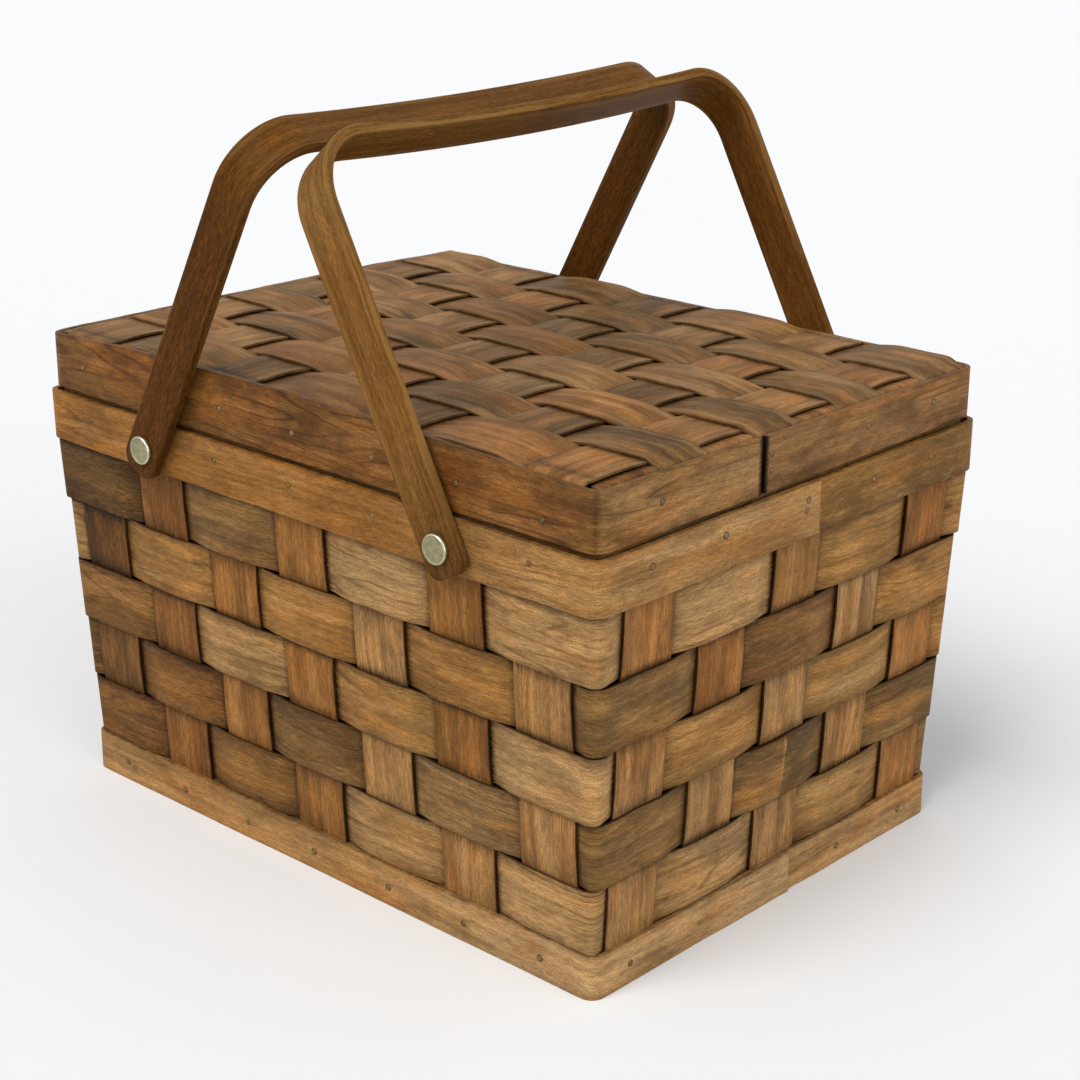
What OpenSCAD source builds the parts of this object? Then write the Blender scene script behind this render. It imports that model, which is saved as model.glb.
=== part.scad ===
// Lidded picnic basket woven from flat wood splints, with two swinging bentwood handles.
// Origin at the centre of the footprint, on the surface that the basket stands on.
// +X runs along the long side, -Y is the front, +Z is up.

/* [Body] */
// Length over the outer rim band
rim_length = 280; // [260:1:320]
// Width over the outer rim band
rim_width = 212; // [195:1:250]
// How far each end wall leans out between base and rim
end_flare = 6; // [2:0.5:12]
// How far each long wall leans out between base and rim
side_flare = 7.5; // [2:0.5:12]
// Outside radius of every band at its corners
corner_radius = 8; // [7:0.5:12]

/* [Splints] */
// Width of the upright splints
stake_width = 25; // [20:0.5:28]
// Thickness of the upright splints
stake_thickness = 1.2; // [0.8:0.1:1.6]
// Width of the splints woven round the wall
weaver_width = 24.6; // [20:0.2:30]
// Thickness of the splints woven round the wall
weaver_thickness = 1.2; // [0.8:0.1:1.6]
// Space between two rows of weaving
row_gap = 0.2; // [0.1:0.1:1]
// Air between splints that cross
weave_gap = 0.15; // [0.1:0.05:0.3]
// Centreline radius of a splint folded at a right angle
fold_radius = 2; // [1.6:0.1:2.5]
// Height of the lowest base splint over the ground
base_rise = 0.8; // [0.5:0.1:2]

/* [Bands] */
// Thickness of the outer bands
band_thickness = 2; // [1.5:0.1:2.6]
// Thickness of the hoops and strips nailed inside the splints
hoop_thickness = 1.2; // [1:0.1:1.6]
// Height of the band round the base
base_band_height = 16; // [14:0.5:24]
// Height of the band round the rim
rim_band_height = 19; // [16:0.5:26]
// How far the rim hoop stands above the rim band
rim_hoop_rise = 2.5; // [1:0.5:5]
// Air between a band and the splints that it clamps
band_gap = 0.05; // [0.02:0.01:0.1]
// Place along Y of the lapped joints in the rim and base bands
lap_place = 8; // [0:0.5:15]
// Length of a lapped joint
lap_length = 40; // [25:1:60]
// Width of the seam in a lapped joint
lap_seam = 0.2; // [0.1:0.05:0.4]

/* [Lid] */
// Height of the band round the lid
lid_band_height = 19.5; // [16:0.5:26]
// Thickness of the lid splints
lid_splint_thickness = 1.2; // [0.8:0.1:1.6]
// Side gap between two long splints of the lid
lid_splint_gap = 0.2; // [0.1:0.05:1]
// How far the lid hoop drops inside the rim hoop
lid_lip = 4; // [2:0.5:8]
// Side play of the lid hoop inside the rim hoop
lid_clearance = 0.4; // [0.2:0.1:1]
// Air under the lid where it rests on the rim hoop
seat_gap = 0.1; // [0.05:0.05:0.3]
// Width of the open butt joint in the lid band
butt_gap = 2.4; // [0.5:0.1:4]
// Place along Y of the open butt joint
butt_place = -24; // [-30:1:-20]

/* [Handles] */
// Width of the handle strip
handle_width = 17; // [15:0.5:22]
// Thickness of the handle strip
handle_thickness = 4; // [3:0.1:5]
// Rivet axis to the top of the handle bar
handle_reach = 137.5; // [125:0.5:150]
// Outside radius of the two handle bends
handle_bend = 25; // [18:0.5:35]
// Rivet axis to the rounded end of a leg
handle_tail = 11.5; // [10:0.5:16]
// Space between the two bars where the handles lean together
bar_gap = 7; // [4:0.5:14]

/* [Fasteners] */
// Diameter of a rivet head
rivet_head = 12; // [10:0.5:14]
// Thickness of a rivet head
rivet_head_height = 1.7; // [1.2:0.1:2.5]
// Width of the rolled edge round a rivet head
rivet_roll = 0.8; // [0.5:0.1:1.2]
// Depth of the flat inside the rolled edge
rivet_dish = 0.35; // [0.1:0.05:0.6]
// Diameter of a rivet shank
rivet_shank = 5; // [4:0.1:6]
// Radial play of a rivet shank in its holes
rivet_clearance = 0.05; // [0.03:0.01:0.1]
// Diameter of the spacing and backing washers
washer_diameter = 11; // [9:0.5:13]
// Thickness of the spacing and backing washers
washer_thickness = 1; // [0.8:0.1:2]
// Air on each side of a handle leg on its rivet
pivot_gap = 0.1; // [0.05:0.05:0.3]
// How far a rivet shank is spread beyond its hole, and how thick the spread is
rivet_peen = 1; // [0.6:0.1:1.4]
// Diameter of a nail head
nail_head = 2.4; // [1.8:0.1:3.5]
// Height of a nail head
nail_head_height = 0.5; // [0.3:0.1:0.7]
// Diameter of a nail shank
nail_shank = 1.2; // [0.8:0.1:1.6]
// Radial play of a nail shank in its holes
nail_clearance = 0.05; // [0.02:0.01:0.1]

/* [Hidden] */
$fn = 48;

// Counts of splints, and which of them carry rivets or lid nails
cross_count = 7;
long_count = 5;
row_count = 5;
lid_long_count = 8;
riveted = [2, 6];
lid_nailed = [1, 4, 6, 8];

// Steps of the curve between two crossings, and of a corner
weave_steps = 4;
corner_steps = 5;
// A crossing is flat a little beyond the splint that it passes
crossing_margin = 0.4;

// Heights
row_pitch = weaver_width + row_gap;
rim_z = base_band_height + row_count * row_pitch;
rim_top = rim_z + rim_band_height;
hoop_top = rim_top + rim_hoop_rise;
lid_z = hoop_top + seat_gap;
lid_top = lid_z + lid_band_height;
pivot_z = rim_z + rim_band_height / 2;

// Depth from the outer face of a band to the middle of the splints, and to the hoop
splint_depth = band_thickness + band_gap + stake_thickness / 2;
hoop_depth = band_thickness + stake_thickness + 2 * band_gap;
lid_splint_depth = band_thickness + band_gap + lid_splint_thickness / 2;
lid_hoop_depth = band_thickness + lid_splint_thickness + 2 * band_gap;

// Plan sizes of the base and of the lid, which stands back so that its hoop drops into the rim hoop
base_length = rim_length - 2 * end_flare;
base_width = rim_width - 2 * side_flare;
lid_inset = hoop_depth + hoop_thickness + lid_clearance - lid_hoop_depth;
lid_length = rim_length - 2 * lid_inset;
lid_width = rim_width - 2 * lid_inset;

// Middle of the wall, where the base band ends and where the rim band starts
base_hx = base_length / 2 - splint_depth;
base_hy = base_width / 2 - splint_depth;
rim_hx = rim_length / 2 - splint_depth;
rim_hy = rim_width / 2 - splint_depth;
lid_hx = lid_length / 2 - lid_splint_depth;
lid_hy = lid_width / 2 - lid_splint_depth;

// Lift of a splint at a crossing, and the level of the flat layer in base, wall and lid
base_lift = stake_thickness + weave_gap;
wall_lift = (stake_thickness + weaver_thickness) / 2 + weave_gap;
lid_lift = lid_splint_thickness + weave_gap;
base_level = base_rise + base_lift + stake_thickness / 2;
lid_level = lid_top + lid_splint_thickness / 2;
base_strip_z = base_level + base_lift + fold_radius + band_gap;

// Splints spread evenly between the corners of the bands
cross_x = spread(cross_count, base_length / 2 - corner_radius, stake_width);
long_y = spread(long_count, base_width / 2 - corner_radius, stake_width);
lid_cross_x = spread(cross_count, lid_length / 2 - corner_radius, stake_width);
lid_long_width = (lid_width - 2 * corner_radius - (lid_long_count - 1) * lid_splint_gap) / lid_long_count;
lid_long_y = spread(lid_long_count, lid_width / 2 - corner_radius, lid_long_width);

// Nails sit at mid height of each band
base_nail_z = base_band_height / 2;
lid_nail_z = lid_z + lid_band_height / 2;

// Handles: rivets on the second stakes, legs outside the washers, bars leaning together
pivot_x = cross_x[riveted[1] - 1];
leg_in = rim_width / 2 + washer_thickness + pivot_gap;
leg_out = leg_in + handle_thickness;
lean_arm = norm([handle_reach, handle_width / 2]);
handle_lean = asin((pivot_x - bar_gap / 2) / lean_arm) - atan2(handle_width / 2, handle_reach);
rivet_bore = rivet_shank + 2 * rivet_clearance;
nail_bore = nail_shank + 2 * nail_clearance;

// Centres of count strips of one width between -half and half
function spread(count, half, width) =
    [for (i = [0 : count - 1]) (half - width / 2) * (2 * i / (count - 1) - 1)];

// Half size of the wall's middle at height z
function wall_half(base, rim, z) = base + (rim - base) * (z - base_band_height) / (rim_z - base_band_height);

// Unit normal to the right of the line from a to b
function side_of(a, b) = [b[1] - a[1], a[0] - b[0]] / norm(b - a);

// Mitred normal where two lines with normals m and n meet
function mitre(m, n) = (m + n) / (1 + m * n);

// Outline of a strip of thickness t along an open centreline
function ribbon(line, t) =
    let (last = len(line) - 1)
    let (n = [for (i = [0 : last]) mitre(
        side_of(line[max(i - 1, 0)], line[max(i, 1)]),
        side_of(line[min(i, last - 1)], line[min(i + 1, last)]))])
    concat([for (i = [0 : last]) line[i] + n[i] * t / 2],
           [for (i = [last : -1 : 0]) line[i] - n[i] * t / 2]);

// A closed line moved outwards by d, for a line that runs anticlockwise
function grown(line, d) =
    let (count = len(line))
    [for (i = [0 : count - 1])
        line[i] + d * mitre(side_of(line[(i + count - 1) % count], line[i]),
                            side_of(line[i], line[(i + 1) % count]))];

// Places and offsets of a splint that passes the given centres, lifted by lifts at each
function crossings(centres, half, lifts) =
    [for (i = [0 : len(centres) - 1]) each concat(
        [[centres[i] - half, lifts[i]], [centres[i] + half, lifts[i]]],
        i == len(centres) - 1 ? [] :
        [for (k = [1 : weave_steps - 1])
            let (s = k / weave_steps)
            [centres[i] + half + s * (centres[i + 1] - centres[i] - 2 * half),
             lifts[i] + (lifts[i + 1] - lifts[i]) * (1 - cos(180 * s)) / 2]])];

// Quarter fold about c from the angle a, radius r
function fold(c, r, a) =
    [for (k = [0 : corner_steps]) c + r * [cos(a + 90 * k / corner_steps), sin(a + 90 * k / corner_steps)]];

// Centreline of a splint that runs down one wall, across the base and up the other wall
function base_line(base_half, rim_half, floor_line) =
    let (left = floor_line[0][1], right = floor_line[len(floor_line) - 1][1])
    concat([[-rim_half, rim_top], [-rim_half, rim_z], [-base_half, base_band_height]],
           fold([-base_half + fold_radius, left + fold_radius], fold_radius, 180),
           floor_line,
           fold([base_half - fold_radius, right + fold_radius], fold_radius, 270),
           [[base_half, base_band_height], [rim_half, rim_z], [rim_half, rim_top]]);

// Centreline of a lid splint, folded down at both ends inside the lid band
function lid_line(half, top_line) =
    let (left = top_line[len(top_line) - 1][1], right = top_line[0][1])
    concat([[half, lid_z]],
           fold([half - fold_radius, right - fold_radius], fold_radius, 0),
           top_line,
           fold([-half + fold_radius, left - fold_radius], fold_radius, 90),
           [[-half, lid_z]]);

// Points in reverse order
function backwards(line) = [for (i = [len(line) - 1 : -1 : 0]) line[i]];

// Plan centreline of a weaver at height z, outside every second stake
function weaver_line(row, z) =
    let (hx = wall_half(base_hx, rim_hx, z), hy = wall_half(base_hy, rim_hy, z))
    let (half = stake_width / 2 + crossing_margin)
    let (sides = [cross_x, long_y, cross_x, long_y], walls = [hy, hx, hy, hx])
    let (first = [0, cross_count, cross_count + long_count, 2 * cross_count + long_count])
    [for (q = [0 : 3])
        let (lifts = [for (i = [0 : len(sides[q])]) wall_lift * ((first[q] + i + row) % 2 == 1 ? 1 : -1)])
        let (last = len(sides[q]) - 1, next = (q + 1) % 4)
        let (turn_x = sides[q][last] + half, turn_y = sides[next][0] - half)
        let (rx = walls[next] + lifts[last + 1] - turn_x, ry = walls[q] + lifts[last] + turn_y)
        each [for (p = concat(
            [for (c = crossings(sides[q], half, lifts)) if (c[0] <= turn_x) [c[0], -walls[q] - c[1]]],
            [for (k = [1 : corner_steps - 1])
                let (a = 90 * k / corner_steps)
                [turn_x + rx * sin(a), turn_y - ry * cos(a)]]))
            quarter_turn(p, q)]];

// A plan point turned by q right angles
function quarter_turn(p, q) = q == 0 ? p : quarter_turn([-p[1], p[0]], q - 1);

// Solid between four closed lines of points: outer low, outer high, inner high, inner low
module ring(loops) {
    count = len(loops[0]);
    polyhedron(
        points = [for (loop = loops) each loop],
        faces = [for (l = [0 : 3], i = [0 : count - 1])
            let (a = l * count, b = (l + 1) % 4 * count, j = (i + 1) % count)
            each [[a + i, b + i, b + j], [a + i, b + j, a + j]]]);
}

// Rectangle with round corners
module rounded(length, width, radius) {
    square([length - 2 * radius, width], center = true);
    square([length, width - 2 * radius], center = true);
    for (x = [-1, 1], y = [-1, 1])
        translate([x * (length / 2 - radius), y * (width / 2 - radius)]) circle(radius);
}

// Upright hoop of a bent strip, given its outside size
module hoop(length, width, radius, thickness, z, height) {
    translate([0, 0, z]) linear_extrude(height)
        difference() {
            rounded(length, width, radius);
            rounded(length - 2 * thickness, width - 2 * thickness, radius - thickness);
        }
}

// Seam of a lapped joint in the band of the right-hand end wall
module lap_cut(length, z, height) {
    out = length / 2;
    middle = out - band_thickness / 2;
    translate([middle, lap_place, z]) cube([band_thickness, lap_seam, height]);
    translate([middle, lap_place - lap_length, z]) cube([lap_seam, lap_length + lap_seam, height]);
    translate([out - 1.5 * band_thickness, lap_place - lap_length, z])
        cube([band_thickness, lap_seam, height]);
}

// Holes right through the basket along Y
module holes_y(places, z, bore) {
    for (x = places)
        translate([x, 0, z]) rotate([90, 0, 0]) cylinder(d = bore, h = 2 * rim_width, center = true);
}

// Holes right through the basket along X
module holes_x(places, z, bore) {
    for (y = places)
        translate([0, y, z]) rotate([0, 90, 0]) cylinder(d = bore, h = 2 * rim_length, center = true);
}

// Stakes that carry a nail at the rim: all but the riveted ones
function rim_nailed() =
    [for (i = [1 : cross_count]) if (len(search(i, riveted)) == 0) cross_x[i - 1]];
function riveted_x() = [for (i = riveted) cross_x[i - 1]];
function lid_nailed_y() = [for (i = lid_nailed) lid_long_y[i - 1]];

// Nail through a band, a splint and a hoop, standing outwards along +Z from the band's face
module nail(splint) {
    length = band_thickness + splint + hoop_thickness + 2 * band_gap;
    translate([0, 0, -length]) cylinder(d = nail_shank, h = length);
    cylinder(d = nail_head, h = nail_head_height);
}

// Nails in all four sides of a band
module nails(places_x, places_y, length, width, z, splint) {
    for (x = places_x, s = [-1, 1])
        translate([x, s * width / 2, z]) rotate([-90 * s, 0, 0]) nail(splint);
    for (y = places_y, s = [-1, 1])
        translate([s * length / 2, y, z]) rotate([0, 90 * s, 0]) nail(splint);
}

// Shapes turned outwards at the four rivets, with +Z away from the rim and zero on its outer face
module at_rivets() {
    for (x = riveted_x(), s = [-1, 1])
        translate([x, s * rim_width / 2, pivot_z]) rotate([-90 * s, 0, 0]) children();
}

module cross_splint(i) {
    floor_line = [[-base_hy + 2 * fold_radius, base_level], [base_hy - 2 * fold_radius, base_level]];
    at_rivet = len(search(i, riveted)) > 0;
    color("burlywood") difference() {
        translate([cross_x[i - 1], 0, 0]) rotate([90, 0, 90])
            linear_extrude(stake_width, center = true)
                polygon(ribbon(base_line(base_hy, rim_hy, floor_line), stake_thickness));
        holes_y([cross_x[i - 1]], base_nail_z, nail_bore);
        holes_y([cross_x[i - 1]], pivot_z, at_rivet ? rivet_bore : nail_bore);
    }
}

module long_splint(j) {
    lifts = [for (i = [1 : cross_count]) (i + j) % 2 == 0 ? base_lift : -base_lift];
    floor_line = [for (c = crossings(cross_x, stake_width / 2 + crossing_margin, lifts))
        [c[0], base_level + c[1]]];
    color("peru") difference() {
        translate([0, long_y[j - 1], 0]) rotate([90, 0, 0])
            linear_extrude(stake_width, center = true)
                polygon(ribbon(base_line(base_hx, rim_hx, floor_line), stake_thickness));
        holes_x([long_y[j - 1]], base_nail_z, nail_bore);
        holes_x([long_y[j - 1]], pivot_z, nail_bore);
    }
}

module weaver(row) {
    low = base_band_height + (row_count - row) * row_pitch + row_gap / 2;
    high = low + weaver_width;
    out = weaver_thickness / 2;
    loops = [for (c = [[low, out], [high, out], [high, -out], [low, -out]])
        [for (p = grown(weaver_line(row, c[0]), c[1])) [p[0], p[1], c[0]]]];
    color("tan") ring(loops);
}

module base_band() {
    color("sandybrown") difference() {
        hoop(base_length, base_width, corner_radius, band_thickness, 0, base_band_height);
        lap_cut(base_length, 0, base_band_height);
        holes_y(cross_x, base_nail_z, nail_bore);
        holes_x(long_y, base_nail_z, nail_bore);
    }
}

// Four flat strips, one along the foot of each wall, that the base nails go into
module base_strips() {
    middle = (base_strip_z + base_band_height) / 2;
    height = base_band_height - base_strip_z;
    depth = hoop_depth + hoop_thickness / 2;
    color("peru") difference() {
        for (s = [-1, 1]) {
            translate([0, s * (base_width / 2 - depth), middle])
                cube([base_length - 2 * corner_radius, hoop_thickness, height], center = true);
            translate([s * (base_length / 2 - depth), 0, middle])
                cube([hoop_thickness, base_width - 2 * corner_radius, height], center = true);
        }
        holes_y(cross_x, base_nail_z, nail_bore);
        holes_x(long_y, base_nail_z, nail_bore);
    }
}

module rim_band() {
    color("sandybrown") difference() {
        hoop(rim_length, rim_width, corner_radius, band_thickness, rim_z, rim_band_height);
        lap_cut(rim_length, rim_z, rim_band_height);
        holes_y(rim_nailed(), pivot_z, nail_bore);
        holes_x(long_y, pivot_z, nail_bore);
        holes_y(riveted_x(), pivot_z, rivet_bore);
    }
}

module rim_hoop() {
    color("peru") difference() {
        hoop(rim_length - 2 * hoop_depth, rim_width - 2 * hoop_depth, corner_radius - hoop_depth,
             hoop_thickness, rim_z, hoop_top - rim_z);
        holes_y(rim_nailed(), pivot_z, nail_bore);
        holes_x(long_y, pivot_z, nail_bore);
        holes_y(riveted_x(), pivot_z, rivet_bore);
    }
}

module base_nails() {
    color("dimgray") nails(cross_x, long_y, base_length, base_width, base_nail_z, stake_thickness);
}

module rim_nails() {
    color("dimgray") nails(rim_nailed(), long_y, rim_length, rim_width, pivot_z, stake_thickness);
}

module rivets() {
    seat = washer_thickness + handle_thickness + 2 * pivot_gap;
    back = -(hoop_depth + hoop_thickness + washer_thickness);
    edge = rivet_head / 2;
    top = seat + rivet_head_height;
    shank = rivet_shank / 2;
    color("darkkhaki") at_rivets() rotate_extrude() polygon([
        [0, back - rivet_peen], [shank, back - rivet_peen], [shank + rivet_peen, back],
        [shank, back], [shank, seat], [edge, seat], [edge, top - rivet_roll / 2],
        [edge - rivet_roll / 2, top], [edge - rivet_roll, top],
        [edge - rivet_roll - rivet_dish, top - rivet_dish], [0, top - rivet_dish]]);
}

// Washer with its lower face at height z over the rim band
module washer(z) {
    translate([0, 0, z]) linear_extrude(washer_thickness) difference() {
        circle(d = washer_diameter);
        circle(d = rivet_bore);
    }
}

module spacing_washers() {
    color("darkkhaki") at_rivets() washer(0);
}

module backing_washers() {
    color("darkkhaki") at_rivets() washer(-(hoop_depth + hoop_thickness + washer_thickness));
}

// One bent strip: two legs with round ends, two bends and the bar, leaning towards the middle
module handle(side) {
    end_z = handle_width / 2 - handle_tail;
    color("saddlebrown")
        translate([side * pivot_x, 0, pivot_z]) rotate([0, -side * handle_lean, 0]) difference() {
            union() {
                for (s = [0, 1]) mirror([0, s, 0]) {
                    translate([-handle_width / 2, leg_in, end_z])
                        cube([handle_width, handle_thickness, handle_reach - handle_bend - end_z]);
                    translate([0, leg_out, end_z]) rotate([90, 0, 0])
                        cylinder(d = handle_width, h = handle_thickness);
                    translate([0, leg_out - handle_bend, handle_reach - handle_bend]) rotate([90, 0, 90])
                        rotate_extrude(angle = 90)
                            translate([handle_bend - handle_thickness, -handle_width / 2])
                                square([handle_thickness, handle_width]);
                }
                translate([-handle_width / 2, handle_bend - leg_out, handle_reach - handle_thickness])
                    cube([handle_width, 2 * (leg_out - handle_bend), handle_thickness]);
            }
            rotate([90, 0, 0]) cylinder(d = rivet_bore, h = 3 * leg_out, center = true);
        }
}

module lid_cross(i) {
    end = lid_hy - 2 * fold_radius;
    top_line = [[end, lid_level], [-end, lid_level]];
    color("rosybrown") difference() {
        translate([lid_cross_x[i - 1], 0, 0]) rotate([90, 0, 90])
            linear_extrude(stake_width, center = true)
                polygon(ribbon(lid_line(lid_hy, top_line), lid_splint_thickness));
        holes_y([lid_cross_x[i - 1]], lid_nail_z, nail_bore);
    }
}

module lid_long(j) {
    lifts = [for (i = [1 : cross_count]) (i + j) % 2 == 1 ? lid_lift : -lid_lift];
    top_line = backwards([for (c = crossings(lid_cross_x, stake_width / 2 + crossing_margin, lifts))
        [c[0], lid_level + c[1]]]);
    color("tan") difference() {
        translate([0, lid_long_y[j - 1], 0]) rotate([90, 0, 0])
            linear_extrude(lid_long_width, center = true)
                polygon(ribbon(lid_line(lid_hx, top_line), lid_splint_thickness));
        if (len(search(j, lid_nailed)) > 0)
            holes_x([lid_long_y[j - 1]], lid_nail_z, nail_bore);
    }
}

module lid_band() {
    color("sienna") difference() {
        hoop(lid_length, lid_width, corner_radius, band_thickness, lid_z, lid_band_height);
        translate([lid_length / 2 - 1.5 * band_thickness, butt_place - butt_gap / 2, lid_z])
            cube([2 * band_thickness, butt_gap, lid_band_height]);
        holes_y(lid_cross_x, lid_nail_z, nail_bore);
        holes_x(lid_nailed_y(), lid_nail_z, nail_bore);
    }
}

module lid_hoop() {
    top = lid_level - lid_lift - fold_radius - band_gap;
    color("peru") difference() {
        hoop(lid_length - 2 * lid_hoop_depth, lid_width - 2 * lid_hoop_depth,
             corner_radius - lid_hoop_depth, hoop_thickness, lid_z - lid_lip, top - lid_z + lid_lip);
        holes_y(lid_cross_x, lid_nail_z, nail_bore);
        holes_x(lid_nailed_y(), lid_nail_z, nail_bore);
    }
}

module lid_nails() {
    color("dimgray")
        nails(lid_cross_x, lid_nailed_y(), lid_length, lid_width, lid_nail_z, lid_splint_thickness);
}

cross_splint(1);  // cross_splint_1
cross_splint(2);  // cross_splint_2
cross_splint(3);  // cross_splint_3
cross_splint(4);  // cross_splint_4
cross_splint(5);  // cross_splint_5
cross_splint(6);  // cross_splint_6
cross_splint(7);  // cross_splint_7
long_splint(1);  // long_splint_1
long_splint(2);  // long_splint_2
long_splint(3);  // long_splint_3
long_splint(4);  // long_splint_4
long_splint(5);  // long_splint_5
weaver(1);  // weaver_1
weaver(2);  // weaver_2
weaver(3);  // weaver_3
weaver(4);  // weaver_4
weaver(5);  // weaver_5
base_band();
base_strips();
rim_band();
rim_hoop();
base_nails();
rim_nails();
rivets();
spacing_washers();
backing_washers();
handle(-1);  // handle_left
handle(1);  // handle_right
lid_cross(1);  // lid_cross_1
lid_cross(2);  // lid_cross_2
lid_cross(3);  // lid_cross_3
lid_cross(4);  // lid_cross_4
lid_cross(5);  // lid_cross_5
lid_cross(6);  // lid_cross_6
lid_cross(7);  // lid_cross_7
lid_long(1);  // lid_long_1
lid_long(2);  // lid_long_2
lid_long(3);  // lid_long_3
lid_long(4);  // lid_long_4
lid_long(5);  // lid_long_5
lid_long(6);  // lid_long_6
lid_long(7);  // lid_long_7
lid_long(8);  // lid_long_8
lid_band();
lid_hoop();
lid_nails();
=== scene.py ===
import math
import random

import bmesh
import bpy
from mathutils import Matrix, Vector, noise


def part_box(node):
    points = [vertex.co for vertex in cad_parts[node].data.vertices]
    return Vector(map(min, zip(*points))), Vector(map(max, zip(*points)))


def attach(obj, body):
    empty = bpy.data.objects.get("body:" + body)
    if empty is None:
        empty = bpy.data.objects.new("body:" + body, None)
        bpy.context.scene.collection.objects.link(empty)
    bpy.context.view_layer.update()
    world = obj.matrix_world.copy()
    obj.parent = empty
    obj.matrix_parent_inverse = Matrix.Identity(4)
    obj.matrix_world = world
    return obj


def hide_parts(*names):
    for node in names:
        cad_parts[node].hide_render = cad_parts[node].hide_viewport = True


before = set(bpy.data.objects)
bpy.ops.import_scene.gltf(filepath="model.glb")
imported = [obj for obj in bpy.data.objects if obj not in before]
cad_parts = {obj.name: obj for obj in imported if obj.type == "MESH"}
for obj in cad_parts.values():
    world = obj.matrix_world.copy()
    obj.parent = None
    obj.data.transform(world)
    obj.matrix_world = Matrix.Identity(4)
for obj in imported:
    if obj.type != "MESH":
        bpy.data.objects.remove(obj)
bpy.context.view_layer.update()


# Seven cross splints: stained wood chips 25 mm wide and about 1 mm thick, cut along the grain. Each runs
# down the front wall, flat under the base and up the back wall, where the rim band nips its end.
base_low, base_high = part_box("base_band")
rim_low, rim_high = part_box("rim_band")
into_wall = 0.00265
splint_thickness = 0.0009
base_level = 0.00275
fold_radius = 0.003
fold_steps = 6
row_count = 5
row_pitch = (rim_low.z - base_high.z) / row_count
stake_bow = 0.00035
stake_top = rim_high.z - 0.0001
stake_rise = 0.002
stake_fray = 0.012
stake_lanes = 6
cross_steps = 168
# Painted shade on each stake's nipped top end and beside the weavers that cover it.
nipped_end, nipped_shade = 0.003, 0.8
stake_tuck, stake_tuck_rows = 0.6, 1 / 9
stake_dusk, stake_dusk_rows = 0.24, 1 / 3.5
edge_ease, edge_ease_share, edge_angle = 0.00018, 0.15, math.radians(50)
edge_nicks, edge_fibres = 70, 260
cross_x = [sum(c.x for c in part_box(f"cross_splint_{i}")) / 2 for i in range(1, 8)]
long_y = [sum(c.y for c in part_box(f"long_splint_{j}")) / 2 for j in range(1, 6)]
stake_half = (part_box("cross_splint_1")[1].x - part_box("cross_splint_1")[0].x) / 2


def clamp(value):
    return min(max(value, 0.0), 1.0)


def smooth(share):
    """A share from 0 to 1 with a gentle start and end."""
    return share * share * (3 - 2 * share)


def mixed(stain, other, share):
    """A colour or stain that lies so far from one to another."""
    return [a + (b - a) * share for a, b in zip(stain, other)]


def opaque(colour):
    return [*colour, 1]


def new_material(name):
    material = bpy.data.materials.new(name)
    material.use_nodes = True
    return material, material.node_tree, material.node_tree.nodes["Principled BSDF"]


def node(tree, kind, sockets=None, **settings):
    """A new shader node with its settings, and with values or links on its input sockets."""
    made = tree.nodes.new("ShaderNode" + kind)
    for key, value in settings.items():
        setattr(made, key, value)
    for key, value in (sockets or {}).items():
        if isinstance(value, bpy.types.NodeSocket):
            tree.links.new(value, made.inputs[key])
        else:
            made.inputs[key].default_value = value
    return made


def calc(tree, operation, a, b=0.0):
    return node(tree, "Math", {0: a, 1: b}, operation=operation).outputs[0]


def times(tree, a, b):
    return calc(tree, "MULTIPLY", a, b)


def remap(tree, value, low, high, to_low=0.0, to_high=1.0):
    """Value from low to high, eased and clamped, as to_low to to_high."""
    sockets = {"Value": value, 1: low, 2: high, 3: to_low, 4: to_high}
    return node(tree, "MapRange", sockets, interpolation_type="SMOOTHSTEP").outputs[0]


def blend(tree, factor, a, b, mode="MIX"):
    sockets = {0: factor, 6: a, 7: b}
    return node(tree, "Mix", sockets, data_type="RGBA", blend_type=mode).outputs[2]


def figure(tree, grain, along, across, detail, shift, turn=0.0):
    """Noise drawn out along the grain: so many marks a metre along it and across it."""
    sockets = {"Vector": grain, "Location": (shift, shift * 1.7, 0), "Rotation": (0, 0, turn)}
    sockets["Scale"] = (along, across, 1)
    drawn = node(tree, "Mapping", sockets).outputs[0]
    sockets = {"Vector": drawn, "Scale": 1.0, "Detail": detail, "Roughness": 0.6}
    return node(tree, "TexNoise", sockets, noise_dimensions="2D").outputs[0]


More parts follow.
